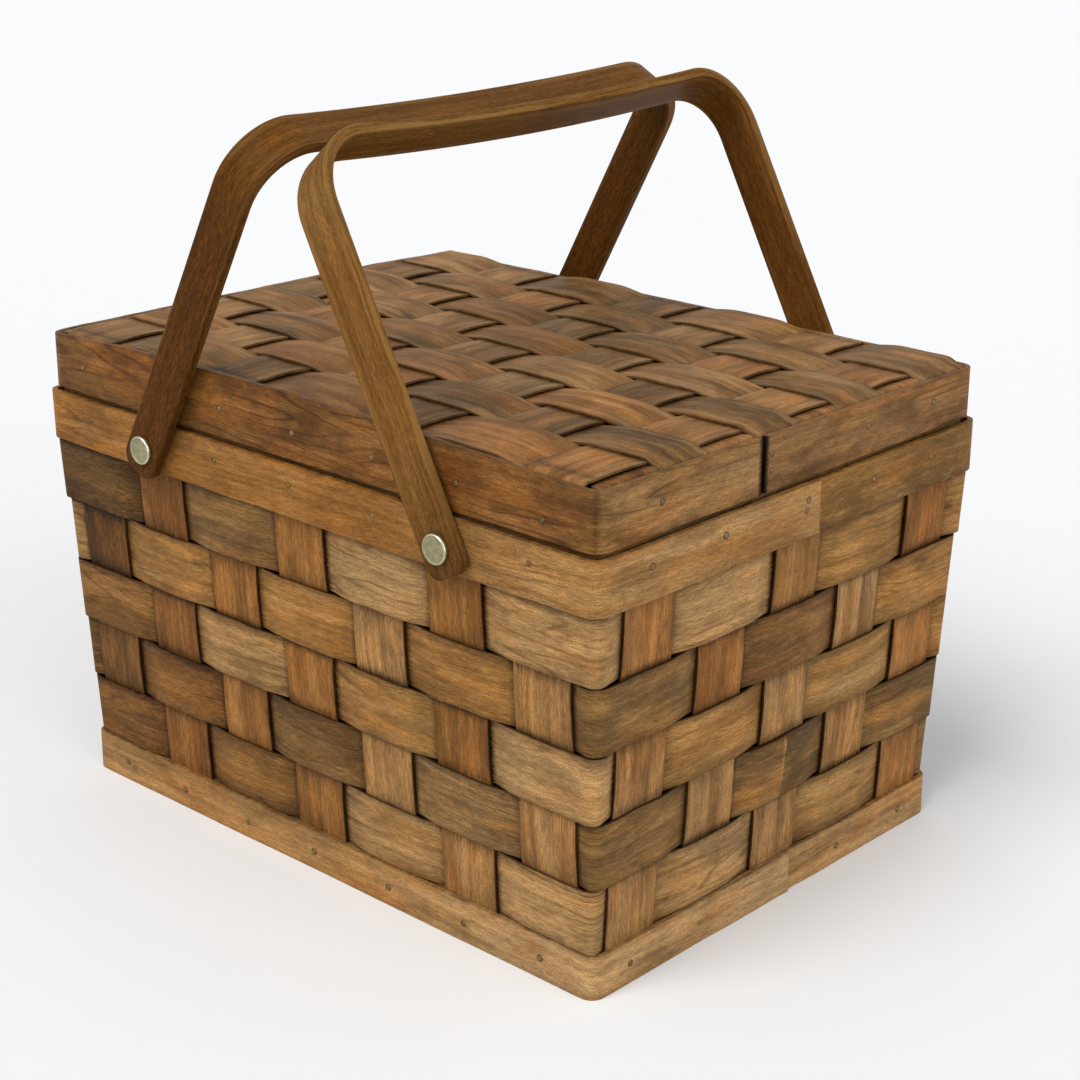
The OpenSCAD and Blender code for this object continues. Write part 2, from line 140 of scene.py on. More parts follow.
def wood(name, honey, dark, olive, pale, gloss, mottle=0.6, rings=0.2, edge_dark_and_shade=0.9, sheen=0.07, rubbed=0.0):
    """Stained splint wood. Its grain follows the strip's own map, its stain the strip's tone, whose alpha
    holds soot and painted shade.
    """
    material, tree, shader = new_material(name)
    grain = node(tree, "UVMap", uv_map="grain").outputs[0]
    tone = node(tree, "Attribute", attribute_name="tone")
    stain = node(tree, "SeparateColor", {0: tone.outputs["Color"]})
    edge = node(tree, "Attribute", attribute_name="edge").outputs["Fac"]
    # Blotches, and a grain that wanders a little to each side.
    patch = remap(tree, figure(tree, grain, 22, 55, 2, 0.7), 0.36, 0.64)
    smudge = remap(tree, figure(tree, grain, 45, 110, 2, 6.1, 0.35), 0.46, 0.70)
    wander = 0.004
    drift = times(tree, calc(tree, "SUBTRACT", figure(tree, grain, 17, 50, 2, 0.3), 0.5), wander)
    aside = node(tree, "CombineXYZ", {"Y": drift}).outputs[0]
    bent = node(tree, "VectorMath", {0: grain, 1: aside}, operation="ADD").outputs[0]
    broad = figure(tree, bent, 5, 150, 4, 1.1)
    streak = figure(tree, bent, 12, 430, 3, 7.7)
    fibre = figure(tree, bent, 250, 1900, 2, 2.3)
    fleck = remap(tree, figure(tree, bent, 260, 1800, 1, 3.1), 0.60, 0.72)
    ripple = remap(tree, figure(tree, bent, 90, 520, 2, 4.3, 0.3), 0.54, 0.68)
    # The bare wood, then its olive, rosy and pale stains, which take unevenly.
    ramp = node(tree, "ValToRGB", {0: broad})
    ramp.color_ramp.elements[0].position = 0.32
    ramp.color_ramp.elements[0].color = opaque(mixed(honey, dark, 0.34))
    ramp.color_ramp.elements[1].position = 0.68
    ramp.color_ramp.elements[1].color = opaque(mixed(honey, pale, 0.4))
    ramp.color_ramp.elements.new(0.5).color = opaque(honey)
    uneven = remap(tree, patch, 0.0, 1.0, 1 - 0.4 * mottle, 1.0)
    soaked = times(tree, stain.outputs[0], uneven)
    colour = blend(tree, soaked, ramp.outputs[0], opaque(olive))
    silvered = times(tree, times(tree, soaked, ripple), 0.3)
    colour = blend(tree, silvered, colour, opaque(pale))
    flush = [1.06 * honey[0], 0.84 * honey[1], 0.66 * honey[2], 1]
    colour = blend(tree, times(tree, stain.outputs[1], 0.8), colour, flush)
    colour = blend(tree, times(tree, stain.outputs[2], uneven), colour, opaque(pale))
    warm = remap(tree, figure(tree, bent, 16, 75, 3, 9.3), 0.48, 0.70, 0.0, 0.5 * mottle)
    colour = blend(tree, warm, colour, flush)
    cool = remap(tree, figure(tree, bent, 13, 90, 3, 12.7), 0.50, 0.72, 0.0, 0.5 * mottle)
    colour = blend(tree, cool, colour, opaque(olive))
    # Growth rings cut at a slant, here and there.
    ring_count = 12.0
    growth = times(tree, figure(tree, bent, 3.5, 42, 2, 5.9), ring_count)
    line = remap(tree, calc(tree, "PINGPONG", growth, 0.5), 0.0, 0.16, rings, 0.0)
    line = times(tree, line, remap(tree, figure(tree, grain, 9, 22, 1, 8.8), 0.42, 0.58))
    colour = blend(tree, line, colour, opaque(dark))
    # Light and dark fibres, streaks and pores.
    grit = figure(tree, grain, 1200, 2500, 2, 14.2)
    lit = remap(tree, fibre, 0.32, 0.68, 0.80, 1.20)
    lit = times(tree, lit, remap(tree, streak, 0.34, 0.66, 0.84, 1.13))
    lit = times(tree, lit, remap(tree, grit, 0.28, 0.72, 0.83, 1.18))
    lit = times(tree, lit, remap(tree, patch, 0.0, 1.0, 1 + 0.16 * mottle, 1 - 0.18 * mottle))
    colour = node(tree, "VectorMath", {0: colour, "Scale": lit}, operation="SCALE").outputs[0]
    colour = blend(tree, times(tree, smudge, 0.36 * mottle), colour, opaque(dark))
    colour = blend(tree, times(tree, fleck, 0.22), colour, opaque(dark))
    # Edges rubbed pale; edges darkened, partly by a dark edge stain and partly as painted shade along the
    # sides; then the tone's soot and painted shade.
    if rubbed:
        rub = remap(tree, edge, 0.55, 0.9, 0.0, rubbed)
        rub = times(tree, rub, remap(tree, streak, 0.42, 0.62))
        colour = blend(tree, rub, colour, opaque(pale))
    rough = calc(tree, "ADD", edge, remap(tree, streak, 0.3, 0.7, -0.14, 0.14))
    # Darkened edges: partly dark edge stain, partly painted shade in the crease along each side of the strip.
    dark_edges_and_shade = remap(tree, rough, 0.78, 1.08, 0.0, 0.55 * edge_dark_and_shade)
    dark_edges_and_shade = calc(tree, "MAXIMUM", dark_edges_and_shade, remap(tree, edge, 0.965, 1.0, 0.0, edge_dark_and_shade))
    # The tone's alpha: the stain's soot plus painted shade in tucks and recesses, mixed in below as grime.
    soot_and_shade = times(tree, tone.outputs["Alpha"], remap(tree, fibre, 0.3, 0.7, 1.15, 0.85))
    grime = calc(tree, "MAXIMUM", dark_edges_and_shade, soot_and_shade)
    colour = blend(tree, grime, colour, opaque(0.3 * d for d in dark))
    height = calc(tree, "ADD", times(tree, fibre, 0.6), times(tree, streak, 0.4))
    height = calc(tree, "SUBTRACT", height, times(tree, fleck, 0.4))
    bump = node(tree, "Bump", {"Height": height, "Strength": 0.4, "Distance": 0.0003}).outputs[0]
    shader.inputs["Specular IOR Level"].default_value = sheen
    tree.links.new(colour, shader.inputs["Base Color"])
    tree.links.new(remap(tree, fibre, 0.2, 0.8, gloss, gloss + 0.22), shader.inputs["Roughness"])
    tree.links.new(bump, shader.inputs["Normal"])
    return material


def up_wall(z):
    """How far up the open wall a height is, from 0 at the base band to 1 at the rim band."""
    return clamp((z - base_high.z) / (rim_low.z - base_high.z))


def half_wall(z):
    """Half length and half width of the wall at height z, in the middle of its stakes."""
    rise = up_wall(z)
    half_x = base_high.x + (rim_high.x - base_high.x) * rise - into_wall
    half_y = base_high.y + (rim_high.y - base_high.y) * rise - into_wall
    return half_x, half_y


def distances(points):
    """How far along a line of points each one lies."""
    reach = [0.0]
    for a, b in zip(points, points[1:]):
        reach.append(reach[-1] + (b - a).length)
    return reach


def evenly(points, steps):
    """Points at even distances along a line of points."""
    reach = distances(points)
    spaced = []
    k = 0
    for i in range(steps + 1):
        d = reach[-1] * i / steps
        while k < len(points) - 2 and reach[k + 1] < d:
            k += 1
        f = (d - reach[k]) / max(reach[k + 1] - reach[k], 1e-9)
        spaced.append(points[k].lerp(points[k + 1], min(f, 1.0)))
    return spaced


def in_scene(name, data):
    """An object of a mesh, a light or a camera, put in the scene."""
    made = bpy.data.objects.new(name, data)
    bpy.context.scene.collection.objects.link(made)
    return made


def finished(name, bm, *materials):
    """A piece made of a bmesh."""
    mesh = bpy.data.meshes.new(name)
    bm.to_mesh(mesh)
    bm.free()
    for material in materials:
        mesh.materials.append(material)
    return in_scene(name, mesh)


def strip(name, steps, lanes, place, shade, material, thickness, seed, fray=0.0, side=0.0, depth=None):
    """A thin strip of wood with ragged edges. At step i along it and at v, from -1 to 1, across it,
    place(i, v) is its point and shade(i, v) its stain, with painted shade in its alpha; depth(i) thins it."""
    rng = random.Random(seed)
    slip_u, slip_v = rng.uniform(0, 3), rng.uniform(0, 3)
    reach = distances([place(i, 0.0) for i in range(steps + 1)])
    half = (place(steps // 2, 1.0) - place(steps // 2, -1.0)).length / 2
    bm = bmesh.new()
    grain = bm.loops.layers.uv.new("grain")
    tone = bm.verts.layers.float_color.new("tone")
    edge = bm.verts.layers.float.new("edge")
    weight = bm.verts.layers.deform.verify()
    bmesh.ops.create_grid(bm, x_segments=steps, y_segments=lanes, size=1.0)
    for vert in bm.verts:
        vert.co.z = round((vert.co.x + 1) / 2 * steps)
    for face in bm.faces:
        face.smooth = True
        for loop in face.loops:
            along = reach[round(loop.vert.co.z)]
            loop[grain].uv = (slip_u + along, slip_v + loop.vert.co.y * half)
    for vert in bm.verts:
        i, v = round(vert.co.z), vert.co.y
        rough = noise.noise(Vector((reach[i] * edge_nicks, 9.0 if v > 0 else 3.0, seed * 2.7)))
        rough += 0.5 * noise.noise(Vector((reach[i] * edge_fibres, 5.0 if v > 0 else 1.0, seed * 1.9)))
        vert.co = place(i, v * (1 + fray * rough * abs(v)))
        vert[tone] = shade(i, v)
        vert[edge] = abs(v)
        vert[weight][0] = depth(i) if depth else 1.0
    piece = finished(name, bm, material)
    piece.vertex_groups.new(name="depth")
    shell = piece.modifiers.new("thickness", "SOLIDIFY")
    shell.thickness = thickness
    shell.offset = side
    if depth:
        shell.vertex_group = "depth"
    eased = piece.modifiers.new("eased edges", "BEVEL")
    eased.width = min(edge_ease, thickness * edge_ease_share)
    eased.segments = 2
    eased.limit_method = "ANGLE"
    eased.angle_limit = edge_angle
    eased.harden_normals = True
    return piece


def stands_for(piece, body, slot, *nodes):
    """The piece takes the place of CAD nodes and moves with a body; slot is not used."""
    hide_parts(*nodes)
    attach(piece, body)


def stake_bend(k, z):
    """How far stake k, counted round the wall from the front left, is pushed out or in at height z."""
    row = row_count - (z - base_high.z) / row_pitch + 0.5
    near = math.floor(row)
    push = [0.0 if r < 1 or r > row_count else (-1 if (k + r) % 2 == 0 else 1) for r in (near, near + 1)]
    f = (1 - math.cos(math.pi * (row - near))) / 2
    return stake_bow * (push[0] * (1 - f) + push[1] * f)


def stake_side(k, base_half, rim_half):
    """Half of a stake's line, from the foot of its wall to the rim, as (out, up) points."""
    line = [Vector((base_half - fold_radius, base_level))]
    for step in range(1, fold_steps + 1):
        turn = math.pi / 2 * step / fold_steps
        out = base_half - fold_radius + fold_radius * math.sin(turn)
        line.append(Vector((out, base_level + fold_radius * (1 - math.cos(turn)))))
    z = base_level + fold_radius
    while z < stake_top:
        z = min(z + stake_rise, stake_top)
        line.append(Vector((base_half + (rim_half - base_half) * up_wall(z) + stake_bend(k, z), z)))
    return line


def stake_shade(stain, points, low_stain=None, level=0):
    """Stain of a stake, another one below a level, with painted shade beside each weaver that covers it and
    on its top end in the gap under the lid.
    """
    def shade(i, v):
        row = (points[i].z - base_high.z) / row_pitch
        low = clamp(level + 1 - row) if low_stain else 0.0
        own = mixed(stain, stains[low_stain] if low_stain else stain, low)
        in_wall = 0.0 < row < row_count
        near = min(row % 1, 1 - row % 1) if in_wall else 1.0
        # Painted shade beside the weaver that covers the stake.
        tuck = stake_tuck * clamp(1 - near / stake_tuck_rows) ** 2
        tuck += stake_dusk * clamp(1 - near / stake_dusk_rows)
        # Painted shade on the stake's top end, down in the gap under the lid.
        recess_shade = nipped_shade if points[i].z > rim_high.z - nipped_end else 0.0
        return (*own[:3], min(1.0, max(recess_shade, own[3] + tuck)))
    return shade


# Each stain is how far the wood goes to olive, to rosy and to pale, and how much soot lies on it.
stains = {
    "honey": (0.0, 0.0, 0.1, 0.0), "amber": (0.0, 0.45, 0.0, 0.0), "pale": (0.0, 0.1, 0.75, 0.0),
    "rosy": (0.05, 0.75, 0.25, 0.0), "olive": (0.75, 0.0, 0.0, 0.06), "murky": (1.0, 0.1, 0.0, 0.15),
    "brown": (0.5, 0.6, 0.0, 0.06), "moss": (0.3, 0.0, 0.15, 0.0), "smoked": (0.9, 0.2, 0.0, 0.58),
    "tawny": (0.28, 0.35, 0.0, 0.07), "straw": (0.05, 0.0, 0.45, 0.0), "blush": (0.0, 0.35, 0.7, 0.0),
    "umber": (0.6, 0.5, 0.0, 0.26), "ash": (0.75, 0.0, 0.3, 0.07), "bronze": (0.12, 0.2, 0.0, 0.04),
    "russet": (0.5, 0.9, 0.0, 0.42), "hay": (0.3, 0.0, 0.55, 0.0), "bleached": (0.05, 0.1, 1.15, 0.0),
}
stake_wood = wood("stake wood", honey=(0.322, 0.143, 0.033), dark=(0.070, 0.028, 0.008),
                  olive=(0.125, 0.060, 0.017), pale=(0.43, 0.238, 0.092), gloss=0.45, mottle=0.85,
                  rings=0.35)
cross_stains = ["smoked", "umber", "tawny", "tawny", "pale", "tawny", "straw"]
low_cross_stains = {1: ("murky", 2), 6: ("straw", 1), 7: ("pale", 2)}
for i, x in enumerate(cross_x, 1):
    half_base, half_rim = half_wall(base_high.z)[1], half_wall(rim_low.z)[1]
    front = [Vector((x, -p.x, p.y)) for p in stake_side(i, half_base, half_rim)]
    back = [Vector((x, p.x, p.y)) for p in stake_side(20 - i, half_base, half_rim)]
    points = evenly(front[::-1] + back, cross_steps)
    shade = stake_shade(stains[cross_stains[i - 1]], points, *low_cross_stains.get(i, ()))
    piece = strip(f"cross_splint_{i}", cross_steps, stake_lanes,
                  lambda n, v: points[n] + Vector((v * stake_half, 0, 0)), shade, stake_wood,
                  splint_thickness, seed=i, fray=stake_fray)
    stands_for(piece, "basket", "stake_wood", f"cross_splint_{i}")


# Five long splints of the same chips: stakes of the two end walls, woven over and under the cross
# splints along the base.
base_lift = 0.00138
base_lift_fade = 0.006
floor_swing_start, floor_swing_run = 0.3, 0.4
floor_steps = 200
long_steps = 224
long_stains = ["rosy", "brown", "honey", "bleached", "brown"]
low_long_stains = {1: ("blush", 2), 2: ("pale", 2), 3: ("pale", 3), 4: ("straw", 2), 5: ("rosy", 3)}


def floor_line(j):
    """The woven part of a long splint under the basket, left to right."""
    line = []
    end = half_wall(base_high.z)[0] - fold_radius
    for step in range(1, floor_steps):
        x = -end + 2 * end * step / floor_steps
        place = (x - cross_x[0]) / (cross_x[1] - cross_x[0])
        near = min(max(math.floor(place), 0), len(cross_x) - 2)
        f = clamp((place - near - floor_swing_start) / floor_swing_run)
        lift = base_lift if (near + 1 + j) % 2 == 0 else -base_lift
        fade = min(1.0, (end - abs(x)) / base_lift_fade)
        line.append(Vector((x, base_level + lift * math.cos(math.pi * f) * fade)))
    return line


for j, y in enumerate(long_y, 1):
    half_base, half_rim = half_wall(base_high.z)[0], half_wall(rim_low.z)[0]
    right = [Vector((p.x, y, p.y)) for p in stake_side(7 + j, half_base, half_rim)]
    left = [Vector((-p.x, y, p.y)) for p in stake_side(25 - j, half_base, half_rim)]
    under = [Vector((p.x, y, p.y)) for p in floor_line(j)]
    points = evenly(left[::-1] + under + right, long_steps)
    shade = stake_shade(stains[long_stains[j - 1]], points, *low_long_stains.get(j, ()))
    piece = strip(f"long_splint_{j}", long_steps, stake_lanes,
                  lambda n, v: points[n] + Vector((0, v * stake_half, 0)), shade, stake_wood,
                  splint_thickness, seed=10 + j, fray=stake_fray)
    stands_for(piece, "basket", "stake_wood", f"long_splint_{j}")


# Five weavers, one splint to a row: each passes outside and inside the stakes in turn, bulges over
# every stake that it covers, and laps over its own start once it has gone round the wall.
weaver_half = 0.0121
weaver_swing = 0.00115
weaver_fray = 0.03
weaver_lanes = 8
coarse_step, fine_step, fine_reach = 0.0026, 0.0007, 0.006
stake_total = 2 * (len(cross_x) + len(long_y))
corner_stakes = (7, 12, 19, 24)
corner_swing = (-0.004, 0.011)
lap_tuck, lap_shown = 0.030, 0.0005
lap_ease, lap_reach = 0.014, 0.06
lap_climb, lap_dive, lap_return = -0.026, 0.012, 0.031
lap_lift = 1.05 * splint_thickness
torn_row, torn_depth, torn_pale = 4, 0.0012, 0.0016
swing_start, swing_end = 0.24, 0.76
# Painted shade on each weaver where it tucks behind a stake, along its top edge under the row above, and
# along both edges.
weaver_tuck, weaver_tuck_run = 0.8, 0.0022
weaver_dusk, weaver_dusk_run = 0.26, 0.011
under_stake, under_stake_ease = 0.0065, 0.004
stain_change, stain_change_ease = 0.007, 0.006
weaver_top, weaver_top_shade, weaver_edge_shade = 0.75, 0.3, 0.2
weaver_corners = {1: 0.0025, 2: 0.0046, 3: 0.0029, 4: 0.0027, 5: 0.0026}
row_stains = {
    1: {1: "smoked", 3: "olive", 5: "pale", 7: "blush", 9: "blush", 11: "bronze"},
    2: {2: "bronze", 4: "amber", 6: "tawny", 8: "olive", 10: "umber", 12: "amber"},
    3: {1: "umber", 3: "straw", 5: "bronze", 7: "pale", 9: "bronze", 11: "honey"},
    4: {2: "russet", 4: "murky", 6: "ash", 8: "olive", 10: "murky", 12: "olive"},
    5: {1: "russet", 3: "umber", 5: "hay", 7: "pale", 9: "pale", 11: "moss"},
}
splices = {1: 15, 2: 16, 3: 21, 4: 10, 5: 17}
weaver_wood = wood("weaver wood", honey=(0.350, 0.177, 0.047), dark=(0.070, 0.029, 0.008),
                   olive=(0.122, 0.067, 0.023), pale=(0.46, 0.276, 0.117), gloss=0.42, mottle=0.8,
                   rings=0.5)


def ring_point(d, half_x, half_y, corner, spare_x=0.0, spare_y=0.0):
    """Point and outward direction at distance d round a rounded rectangle, from its front left."""
    arc = math.pi / 2 * corner
    runs = [2 * (half_x - corner), 2 * (half_y - corner)] * 2
    d %= sum(runs) + 4 * arc
    q = 0
    while d > runs[q] + arc:
        d -= runs[q] + arc
        q += 1
    turn = max(0.0, d - runs[q]) / corner
    straight = min(d, runs[q])
    ends = [(half_x - corner, half_y - corner, corner + spare_x, corner + spare_y),
            (half_y - corner, half_x - corner, corner + spare_y, corner + spare_x)][q % 2]
    along, depth, radius_along, radius_out = ends
    a = straight - along + radius_along * math.sin(turn)
    b = -depth - radius_out * math.cos(turn)
    out = Vector((math.sin(turn), -math.cos(turn), 0))
    quarter = Matrix.Rotation(math.pi / 2 * q, 3, "Z")
    return quarter @ Vector((a, b, 0)), quarter @ out


def ring_length(half_x, half_y, corner):
    return 4 * (half_x + half_y - 2 * corner) + 2 * math.pi * corner


def weave_row(row):
    """One weaver, from behind one stake, once round, to behind the stake where it laps itself."""
    low = base_high.z + (row_count - row + 0.5) * row_pitch
    half_x, half_y = half_wall(low)
    weaver_corner = weaver_corners[row]
    run_x, run_y = 2 * (half_x - weaver_corner), 2 * (half_y - weaver_corner)
    arc = math.pi / 2 * weaver_corner
    stakes = [run_x / 2 + x for x in cross_x]
    stakes += [run_x + arc + run_y / 2 + y for y in long_y]
    stakes += [run_x + run_y + 2 * arc + run_x / 2 + x for x in cross_x]
    stakes += [2 * run_x + run_y + 3 * arc + run_y / 2 + y for y in long_y]
    total = ring_length(half_x, half_y, weaver_corner)
    rng = random.Random(40 + row)
    swings = [weaver_swing * rng.uniform(0.92, 1.12) for _ in range(stake_total)]
    names = ["honey", "amber", "olive", "moss", "tawny", "rosy", "straw", "murky"]
    tones = [stains[row_stains[row].get(k + 1, rng.choice(names))] for k in range(stake_total)]
    wrapped = [stake + total * turn for turn in range(-1, 3) for stake in stakes]
    first = splices[row] - 1
    start = stakes[first] - lap_tuck
    in_sight = row == torn_row
    finish = stakes[first] + total + (lap_shown if in_sight else lap_tuck)
    bends = [run_x + arc / 2, run_x + run_y + 1.5 * arc, 2 * run_x + run_y + 2.5 * arc, total - arc / 2]
    stations = [start]
    while stations[-1] < finish:
        bend = min(abs((stations[-1] - b + total / 2) % total - total / 2) for b in bends)
        fine = bend < fine_reach or in_sight and finish - stations[-1] < fine_reach
        stations.append(min(finish, stations[-1] + (fine_step if fine else coarse_step)))
    steps = len(stations) - 1

    def eased(t, begin):
        return smooth(clamp((t - begin) / lap_ease))

    def splice(d):
        """Keeps the end of the weaver outside its own start where the two lap."""
        since, after = d - stakes[first], d - stakes[first] - total
        if after > -lap_reach:
            return eased(after, lap_climb) * (1.0 if in_sight else 1 - eased(after, lap_dive))
        if since < lap_reach:
            again = 0.0 if in_sight else eased(since, lap_dive) * (1 - eased(since, lap_return))
            return eased(since, lap_climb) - 1 - again
        return 0.0

    def pose(i):
        """Where a step lies, how far out it swings, and the stakes before and after it."""
        d = stations[i]
        k = max(n for n, stake in enumerate(wrapped) if stake <= d)
        span = wrapped[k + 1] - wrapped[k]
        f = (d - wrapped[k]) / span
        here, there = k % stake_total, (k + 1) % stake_total
        out = 1 if (here + 1 + row) % 2 == 0 else -1
        swing = swings[here] + (swings[there] - swings[here]) * f
        low_f, high_f = swing_start, swing_end
        if here + 1 in corner_stakes:
            low_f, high_f = [(stake_half + past) / span for past in corner_swing]
            if out > 0:
                low_f, high_f = 1 - high_f, 1 - low_f
        offset = out * swing * math.cos(math.pi * clamp((f - low_f) / (high_f - low_f)))
        return d, offset + lap_lift * splice(d), here, there, f, out

    poses = [pose(i) for i in range(steps + 1)]
    spans = [(stakes[there] - stakes[here]) % total for _, _, here, there, _, _ in poses]

    def place(i, v):
        d, offset = poses[i][:2]
        z = low + v * weaver_half
        wide_x, wide_y = half_wall(z)
        if in_sight and i == steps:
            d += torn_depth * noise.noise(Vector((v * 9, 2.0, 0.5)))
        spot, out = ring_point(d, half_x, half_y, weaver_corner, wide_x - half_x, wide_y - half_y)
        return spot + out * offset + Vector((0, 0, z))

    def shade(i, v):
        d, _, here, there, f, out = poses[i]
        over, under = (tones[here], tones[there]) if out > 0 else (tones[there], tones[here])
        if in_sight and d > finish - lap_tuck:
            over = mixed(stains["olive"], stains["pale"], clamp(1 - (finish - d) / torn_pale))
        behind = (f if out < 0 else 1 - f) * spans[i] - stake_half
        tone = mixed(under, over, clamp((behind + stain_change) / stain_change_ease))
        # Painted shade where the weaver goes behind a stake.
        tuck = weaver_tuck * clamp(1 - behind / weaver_tuck_run) ** 2
        tuck += weaver_dusk * clamp(1 - behind / weaver_dusk_run)
        tuck *= clamp((behind + under_stake) / under_stake_ease)
        # Painted shade along the top edge, under the row above, and along both edges.
        smudge = weaver_top_shade * max(0.0, v - weaver_top) / (1 - weaver_top) + weaver_edge_shade * v ** 4
        return (*tone[:3], min(1.0, tone[3] + tuck + smudge))

    return strip(f"weaver_{row}", steps, weaver_lanes, place, shade, weaver_wood, splint_thickness,
                 seed=50 + row, fray=weaver_fray)


for row in range(1, row_count + 1):
    stands_for(weave_row(row), "basket", "weaver_wood", f"weaver_{row}")


# Base band and rim band: thicker veneer, 2 mm, stained and varnished, bent round the wall outside the
# splints. The ends are skived and lapped on the right end wall. Strips and a hoop back them inside.
band_thickness = 0.002
band_corner = 0.0055
band_steps, band_lanes = 480, 6
band_fray = 0.025
band_wave, band_waves = 0.00022, 22
band_tilt, band_tilts = 0.00025, 14
lap_end = 0.008
lap_length = 0.040
lap_sunk, lap_proud = 0.00085, 0.00045
lap_thin_start, lap_thin_end = 0.45, 0.38
skive_under, skive_under_run = 0.004, 0.022
skive_over, skive_over_run = 0.012, 0.02
lap_stain, lap_stain_ease = 0.012, 0.004
far_stain, far_stain_ease = 0.09, 0.04
near_stain, near_stain_ease = 0.2, 0.08
foot_olive, band_foot_dark = 0.4, 0.3
hoop_thickness = 0.0012
hoop_corner = 0.0047
hoop_joint = 0.0006
hoop_steps, hoop_lanes = 320, 8
hoop_fray = 0.02
# The rim hoop's top, seen in the gap under the lid, is painted shade.
hoop_olive, hoop_top, hoop_top_shade = 0.4, 0.6, 0.45
band_wood = wood("band wood", honey=(0.325, 0.142, 0.027), dark=(0.085, 0.033, 0.008),
                 olive=(0.165, 0.085, 0.021), pale=(0.42, 0.255, 0.112), gloss=0.38, mottle=0.75,
                 rings=0.4, edge_dark_and_shade=0.3)
hoop_wood = wood("hoop wood", honey=(0.33, 0.160, 0.050), dark=(0.09, 0.04, 0.013),
                 olive=(0.15, 0.08, 0.028), pale=(0.42, 0.25, 0.10), gloss=0.5, mottle=0.5)


def lapped_band(name, low, high, material, front, near, far, seed):
    """A band bent from one strip: it starts under its own end on the right wall and ends over it.
    Its stain goes from front, along the front wall, to near and far, before and past the lap."""
    half_x, half_y, corner = high.x, high.y, band_corner
    total = ring_length(half_x, half_y, corner)
    mid_right = 2 * (half_x - corner) + math.pi / 2 * corner + (half_y - corner)
    start = mid_right + lap_end - lap_length
    finish = mid_right + lap_end + total
    steps = band_steps
    middle, half = (low.z + high.z) / 2, (high.z - low.z) / 2

    def lapped(i):
        d = start + (finish - start) * i / steps
        under = 1 - clamp((d - start - lap_length + skive_under) / skive_under_run)
        over = clamp((d - finish + lap_length + skive_over) / skive_over_run)
        return d, smooth(under), smooth(over)

    stations = [lapped(i) for i in range(steps + 1)]

    def place(i, v):
        d, under, over = stations[i]
        spot, out = ring_point(d, half_x, half_y, corner)
        wave = band_wave * noise.noise(Vector((d * band_waves, seed, 0.3)))
        tilt = band_tilt * v * noise.noise(Vector((d * band_tilts, seed, 4.1)))
        rise = max(middle + v * half, 0.0)
        return spot + out * (lap_proud * over - lap_sunk * under + wave + tilt) + Vector((0, 0, rise))

    def shade(i, v):
        y = (stations[i][0] - mid_right) % total
        ending = i > steps // 2
        mix = clamp((y - far_stain) / far_stain_ease)
        mix = max(mix, clamp((lap_stain - y) / lap_stain_ease)) if ending else mix
        side = clamp((y - total + near_stain) / near_stain_ease)
        side = 1.0 if ending and y < lap_length else side
        tone = mixed(far, mixed(front, near, side), mix)
        # The far piece goes olive and darker towards its foot.
        foot = max(0.0, -v) * (1 - mix) * far[0]
        soot_and_foot_dark = min(1.0, tone[3] + band_foot_dark * foot)
        return (tone[0] + foot_olive * foot, tone[1], tone[2] * (1 - foot), soot_and_foot_dark)

    def depth(i):
        under, over = stations[i][1:]
        return 1 - lap_thin_start * under - lap_thin_end * over

    return strip(name, steps, band_lanes, place, shade, material, band_thickness, seed, band_fray,
                 side=-1.0, depth=depth)


base_band = lapped_band("base_band", base_low, base_high, band_wood, stains["straw"], stains["bleached"],
                        stains["pale"], seed=61)
stands_for(base_band, "basket", "band_wood", "base_band")
rim_band = lapped_band("rim_band", rim_low, rim_high, band_wood, stains["tawny"], stains["straw"],
                       stains["olive"], seed=62)
stands_for(rim_band, "basket", "band_wood", "rim_band")


def hoop_inside(name, low, high, seed, dark_above=2.0):
    """A thin closed hoop, nailed inside the splints, with its ends butted on the left wall. Above dark_above
    across it, it is painted shade.
    """
    total = ring_length(high.x, high.y, hoop_corner)
    start = total - (high.y - hoop_corner)
    middle, half = (low.z + high.z) / 2, (high.z - low.z) / 2

    def place(i, v):
        d = start + (total - hoop_joint) * i / hoop_steps
        spot = ring_point(d, high.x, high.y, hoop_corner)[0]
        return spot + Vector((0, 0, middle + v * half))

    def shade(i, v):
        return (hoop_olive, 0.0, 0.0, hoop_top_shade if v > dark_above else 0.0)

    return strip(name, hoop_steps, hoop_lanes, place, shade, hoop_wood, hoop_thickness, seed, hoop_fray,
                 side=-1.0)


rim_hoop = hoop_inside("rim_hoop", *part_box("rim_hoop"), seed=63, dark_above=hoop_top)
stands_for(rim_hoop, "basket", "hoop_wood", "rim_hoop")
strips_low, strips_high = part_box("base_strips")
strip_middle, strip_half = (strips_low.z + strips_high.z) / 2, (strips_high.z - strips_low.z) / 2
strip_steps, strip_lanes = 80, 3
strip_tone = (0.3, 0.0, 0.0, 0.0)
long_side = (base_high.x - band_corner, strips_high.y)
short_side = (base_high.y - band_corner, strips_high.x)
for q, name in enumerate(("front", "right", "back", "left")):
    turned_by = Matrix.Rotation(math.pi / 2 * q, 3, "Z")
    reach, out = short_side if q % 2 else long_side

    def foot_place(i, v):
        along = reach * (2 * i / strip_steps - 1)
        return turned_by @ Vector((along, -out, strip_middle + v * strip_half))

    piece = strip(f"base_strip_{name}", strip_steps, strip_lanes, foot_place,
                  lambda i, v: strip_tone, hoop_wood, hoop_thickness, seed=64 + q, fray=hoop_fray,
                  side=-1.0)
    stands_for(piece, "basket", "hoop_wood", "base_strips")


